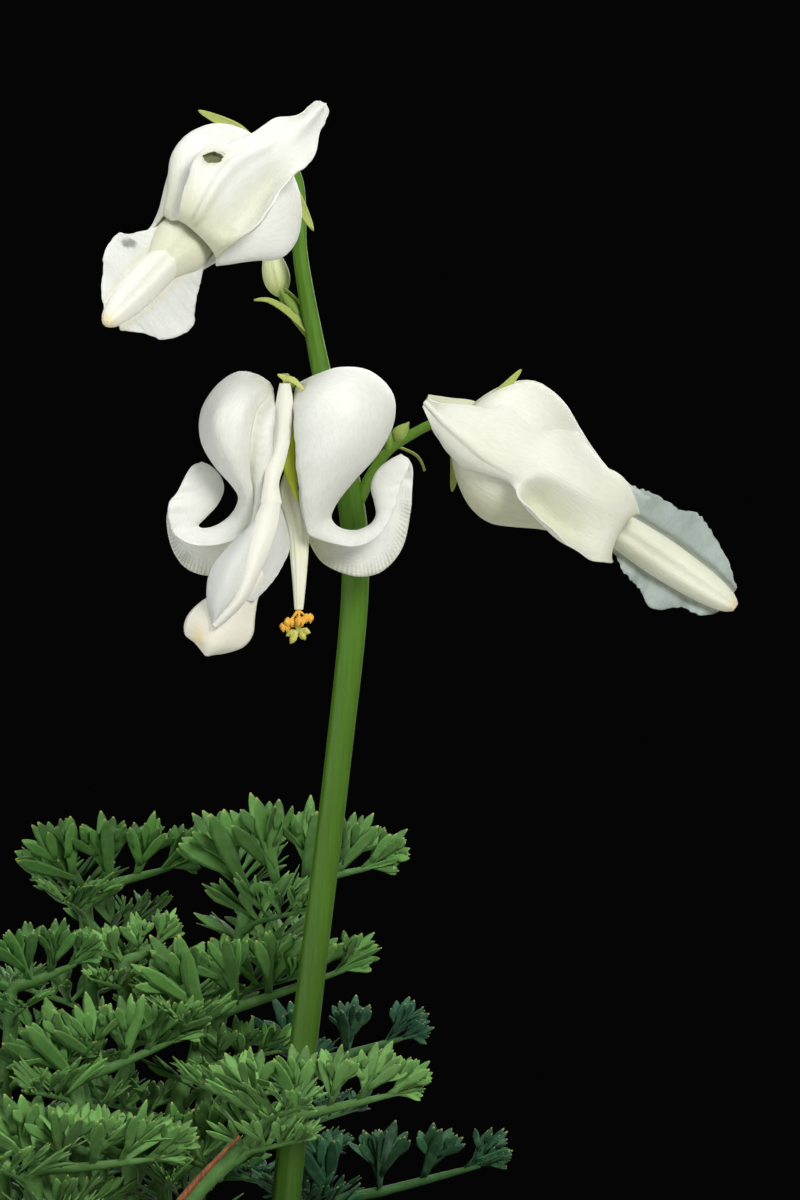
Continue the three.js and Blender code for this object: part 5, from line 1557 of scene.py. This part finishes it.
def make_leaf(name, root, way, start, end, lobes, spread, longest, shortest, fold, tone):
    """root is the stalk's place in the soil, way a few points it passes on its way to the blade."""
    stream = np.random.default_rng(sum(map(ord, name)))
    start, end, last = vec(*start), vec(*end), vec(*way[-1])
    plan = lobe_plan(np.linalg.norm(end - start), lobes, spread, longest, shortest, leaf_numbers)
    fingers = blade_fingers(start, end, plan, math.radians(fold), stream)
    more_fingers, stalks = side_leaflets(last, start, end, 0.95 * longest, stream)
    rows = [[*point, 0.85] for point in way] + [[*mix(last, start, 0.86), 0.75], [*start, 0.65]]
    rows += [[*mix(start, end, share), radius] for share, radius in rib_radii]
    points, faces, _ = merged([standing_stalk(root, STALK_RADIUS, rows, 60, 12), *stalks])
    even = {"tip": 0.0, "shade": 0.15, "tone": 0.2 + 0.5 * tone}
    stem = points, faces, {label: np.full(len(points), value) for label, value in even.items()}
    leaf = merged([stem, finger_parts(fingers + more_fingers, tone, stream)])
    make_piece(name, leaf, leaf_finish, [name])


# %% [markdown]
# Eleven leaves stand under the blooms, each with its own place, slant and number of lobes.
# Eleven more stand round the clump, six high and five low, so that it is full on every side.

# %% The leaves in front
# name, root, way, start and end of the blade, lobes, spread, longest, shortest, fold, tone
seen_leaves = [
    ("back_left", [-9, 11], [[-12, 20, 168]], [-13.6, 27, 194.4], [-3.2, 27, 197.2],
     4, 112, 10.4, 5, 60, 0.45),
    ("back_middle", [-1, 9], [[-2, 14, 165]], [3.2, 17, 194.7], [17.8, 17, 197.8],
     5, 108, 12, 5.2, 62, 0.3),
    ("centre", [-2.6, 4.6], [[-6, 8, 160]], [-1.3, 8.6, 182.4], [15.6, 8.6, 188.4],
     5, 100, 10.6, 5, 60, 0.35),
    ("young", [-6.4, 12], [[-8.8, 17, 165]], [-9.4, 18, 187.4], [-4.8, 18, 190.4],
     3, 96, 5.4, 3.6, 56, 0.1),
    ("left", [-12, 3], [[-21, 5, 160]], [-20.5, 4, 185.6], [-12.8, 4, 188.8],
     4, 112, 8.6, 4.6, 55, 0.55),
    ("front_left", [-11, -5.4], [[-19, -9, 148]], [-17.6, -10, 168.4], [-3.6, -10.6, 170],
     5, 106, 10.4, 5.6, 52, 0.2),
    ("middle_left", [-9, -0.6], [[-13, -1, 155]], [-13.8, 1.6, 176.6], [-2.2, 1.4, 181.6],
     5, 104, 10.2, 5, 58, 0.3),
    ("middle_front", [-5.2, -1.6], [[-5.4, -1.6, 150]], [-5, -0.8, 166.8], [3.2, -1.2, 172.4],
     4, 92, 8.6, 5, 60, 0.4),
    ("front_right", [-5.4, -6.4], [[-8.6, -10.4, 140], [-4.4, -9.6, 162]],
     [5.6, -8.4, 173.3], [20.4, -8.4, 176.6], 5, 106, 9.6, 5.2, 58, 0.1),
    ("right", [5, 7.6], [[9, 16, 140]], [12, 20, 163], [29.4, 20, 167.6],
     4, 96, 10, 5.4, 58, 0.9),
    ("far_back", [1.6, 14], [[6, 28, 150]], [9, 35, 176], [20.6, 35, 179.4],
     3, 104, 8.2, 5, 58, 0.95),
]

for leaf_name, *leaf_shape in seen_leaves:
    make_leaf("leaf_" + leaf_name, *leaf_shape)

# %% The leaves round the clump
CLUMP_CENTRE = (-4, 2)
BLADE_LENGTH = 29
BLADE_RISE = 7
RING_LEAF_SHAPE = (4, 84, 19, 9, 26, 0.7)
# compass direction, distance of the blade's foot, height
ring_leaves = [
    (10, 32, 150), (50, 40, 140), (112, 38, 162), (158, 36, 156), (206, 34, 146), (322, 32, 142),
    (34, 42, 118), (92, 44, 122), (182, 44, 116), (240, 42, 112), (292, 42, 114),
]


def ring_point(compass, reach, height):
    angle = math.radians(compass)
    return vec(*CLUMP_CENTRE, height) + vec(math.cos(angle), math.sin(angle), 0) * reach


for number, (compass, distance, height) in enumerate(ring_leaves, 1):
    make_leaf(
        f"leaf_ring_{number}",
        ring_point(compass, 0.36 * distance, 0)[:2],
        [ring_point(compass, 0.66 * distance, mix(SOIL_TOP, height, 0.64))],
        ring_point(compass, distance, height),
        ring_point(compass, distance + BLADE_LENGTH, height + BLADE_RISE),
        *RING_LEAF_SHAPE,
    )

# %% [markdown]
# One old leaf stalk has dried to a thin reddish brown strand. It is made like the green
# stalks, but narrower and with deeper ribs, and a noise that is stretched upwards gives the
# long wrinkles of its shrunken skin.

# %% Dried leaf stalk
def dried_finish_recipe():
    finish, tree, shader = new_finish("dried_stalk")
    streaks = noise(tree, place_in_mm(tree, 4.0, 4.0, 0.4), 1.0, 4.0)
    colour = ramp(tree, streaks, (0.3, (0.07, 0.022, 0.008)), (0.7, (0.27, 0.09, 0.022)))
    paint(tree, shader, colour, 0.75)
    bump(tree, shader, (streaks, 0.12))
    return finish


def make_dried_stalk():
    rows = [
        [-12, -13, 130, 0.45],
        [-9, -13.6, 156, 0.4],
        [-3.6, -13.2, 165.4, 0.36],
        [2.6, -12.6, 172.2, 0.16],
    ]
    strand = standing_stalk([-9.6, -9.4], 0.6, rows, 70, 14, ribs=4, rib_depth=0.12)
    make_piece("dried_leaf_stalk", strand, dried_finish_recipe(), ["dried_leaf_stalk"])


make_dried_stalk()

# %% [markdown]
# The soil is dark potting earth: a lumpy top with loose crumbs, lower at the edge of the pot.
# The top is a polar grid that is pushed up and down by a few sine waves, and the crumbs are
# small knobbly pebbles, scattered by a seeded rule. A bump in the finish alone would leave
# the top flat where it meets the pot, so the lumps are part of the mesh.

# %% Soil
SOIL_RADIUS = 51.2
SOIL_SIDES = 120
CRUMBS_RADIUS = 49
# radius and height of the plain body that fills the pot, from the edge of the top down
soil_body = np.array([[51.0, 90], [50.6, 80], [37.0, 7.4], [0.5, 7.4]])


def soil_finish_recipe():
    finish, tree, shader = new_finish("potting_soil")
    lumps = noise(tree, place_in_mm(tree), 0.5, 6.0, 0.7)
    grit = noise(tree, place_in_mm(tree), 2.0, 4.0, 0.7)
    wet, brown, dry = (0.018, 0.011, 0.007), (0.075, 0.045, 0.027), (0.16, 0.11, 0.07)
    paint(tree, shader, ramp(tree, lumps, (0.3, wet), (0.6, brown), (0.85, dry)), 0.95)
    bump(tree, shader, (lumps, 0.8), (grit, 0.25))
    return finish


soil_finish = soil_finish_recipe()


def soil_height(radius, angle):
    dome = np.interp(radius, [0, 20, 34, 51], [SOIL_TOP, SOIL_TOP, 94, 91])
    lumps = 0.5 * np.sin(0.55 * radius + 3 * angle) + 0.4 * np.sin(0.9 * radius - 5 * angle + 1)
    return dome + 0.6 * lumps * smooth_step(2, 10, radius)


def turned_rings(radii, heights, sides):
    """Rings of points round the pot's axis; a height may change round a ring."""
    angles, radii = angles_round(sides), np.asarray(radii)[:, None]
    return np.stack([radii * np.cos(angles), radii * np.sin(angles), heights + 0 * angles], axis=-1)


def make_soil():
    top = np.linspace(0.5, SOIL_RADIUS, 60)
    top_heights = soil_height(top[:, None], angles_round(SOIL_SIDES))
    body_heights = soil_body[:, 1:] + np.zeros(SOIL_SIDES)
    heights = np.concatenate([top_heights, body_heights])
    rings = turned_rings([*top, *soil_body[:, 0]], heights, SOIL_SIDES)
    make_piece("soil", tube(rings), soil_finish, ["soil"])


def make_crumbs(count):
    stream = np.random.default_rng(31)
    parts = []
    for _ in range(count):
        radius, angle = CRUMBS_RADIUS * math.sqrt(stream.uniform(0.01, 1)), stream.uniform(0, 2 * math.pi)
        size = stream.uniform(0.5, 1.9) * stream.uniform(0.5, 1)
        height = soil_height(radius, angle) + 0.3 * size
        middle = vec(radius * math.cos(angle), radius * math.sin(angle), height)
        lean = unit(stream.normal(0, 1, 3)) * size
        parts.append(knobbly(egg(middle - lean, middle + lean, 0.8 * size, 8, 6, 1.0), 0.12 * size, stream))
    make_piece("soil_crumbs", merged(parts), soil_finish)


make_soil()
make_crumbs(420)

# %% [markdown]
# The pot is plain fired clay with a rolled rim and three drain holes. It is a profile turned
# on a wheel, so the mesh is turned too: one outline, many steps round. The holes are drilled
# last, because a turned outline has no place for them. Faint throwing lines run round the pot,
# and the clay is mottled where minerals have dried on its surface.

# %% Pot
def clay_finish_recipe():
    finish, tree, shader = new_finish("fired_clay")
    cloud = noise(tree, place_in_mm(tree), 0.035, 5.0, 0.6)
    grain = noise(tree, place_in_mm(tree), 1.4, 5.0, 0.65)
    lines = noise(tree, place_in_mm(tree, 0.02, 0.02, 0.9), 1.0, 3.0)
    colour = ramp(tree, cloud, (0.3, (0.36, 0.135, 0.065)), (0.7, (0.50, 0.22, 0.12)))
    minerals = ramp(tree, cloud, (0.55, 0.0), (0.8, 0.4))
    colour = blended(tree, minerals, colour, (0.60, 0.47, 0.38))
    colour = shaded(tree, 0.4, colour, grain, (0.3, 0.72), (0.7, 1.0))
    paint(tree, shader, colour, 0.85)
    bump(tree, shader, (lines, 0.25), (grain, 0.12))
    return finish


POT_SIDES = 144
HOLES = 3
HOLE_RADIUS = 4.5
HOLES_FROM_AXIS = 20
# radius and height, from the foot up the outside, over the rim and down the inside
pot_profile = [
    [3, 0], [42, 0], [43, 1.2], [43.4, 3], [49.6, 42], [55.7, 80.5], [56.2, 81.8], [57.6, 82.2],
    [59.4, 82.4], [60.2, 83.6], [60.5, 86], [60.8, 94], [60.95, 101.5], [60.6, 103.2], [59.4, 104],
    [57, 104], [54.8, 103.9], [53.6, 103], [53, 101], [52.2, 84], [52, 80], [45, 43], [38.6, 9.4],
    [37.4, 7.4], [34, 7], [3, 7],
]


def drill_ring(angle, height):
    centre = HOLES_FROM_AXIS * vec(math.cos(angle), math.sin(angle), 0)
    return [*(centre + vec(0, 0, height)), HOLE_RADIUS]


def make_pot():
    profile = np.array(pot_profile, float)
    rings = turned_rings(profile[:, 0], profile[:, 1:], POT_SIDES)
    pot = make_piece("clay_pot", tube(rings), clay_finish_recipe(), ["pot"])
    for number in range(HOLES):
        angle = math.radians(90 + number * 360 / HOLES)
        drill = stalk_rings([drill_ring(angle, height) for height in (-3, 3.5, 10)], 32)
        cut_away(pot, f"drill_{number}", drill)


make_pot()
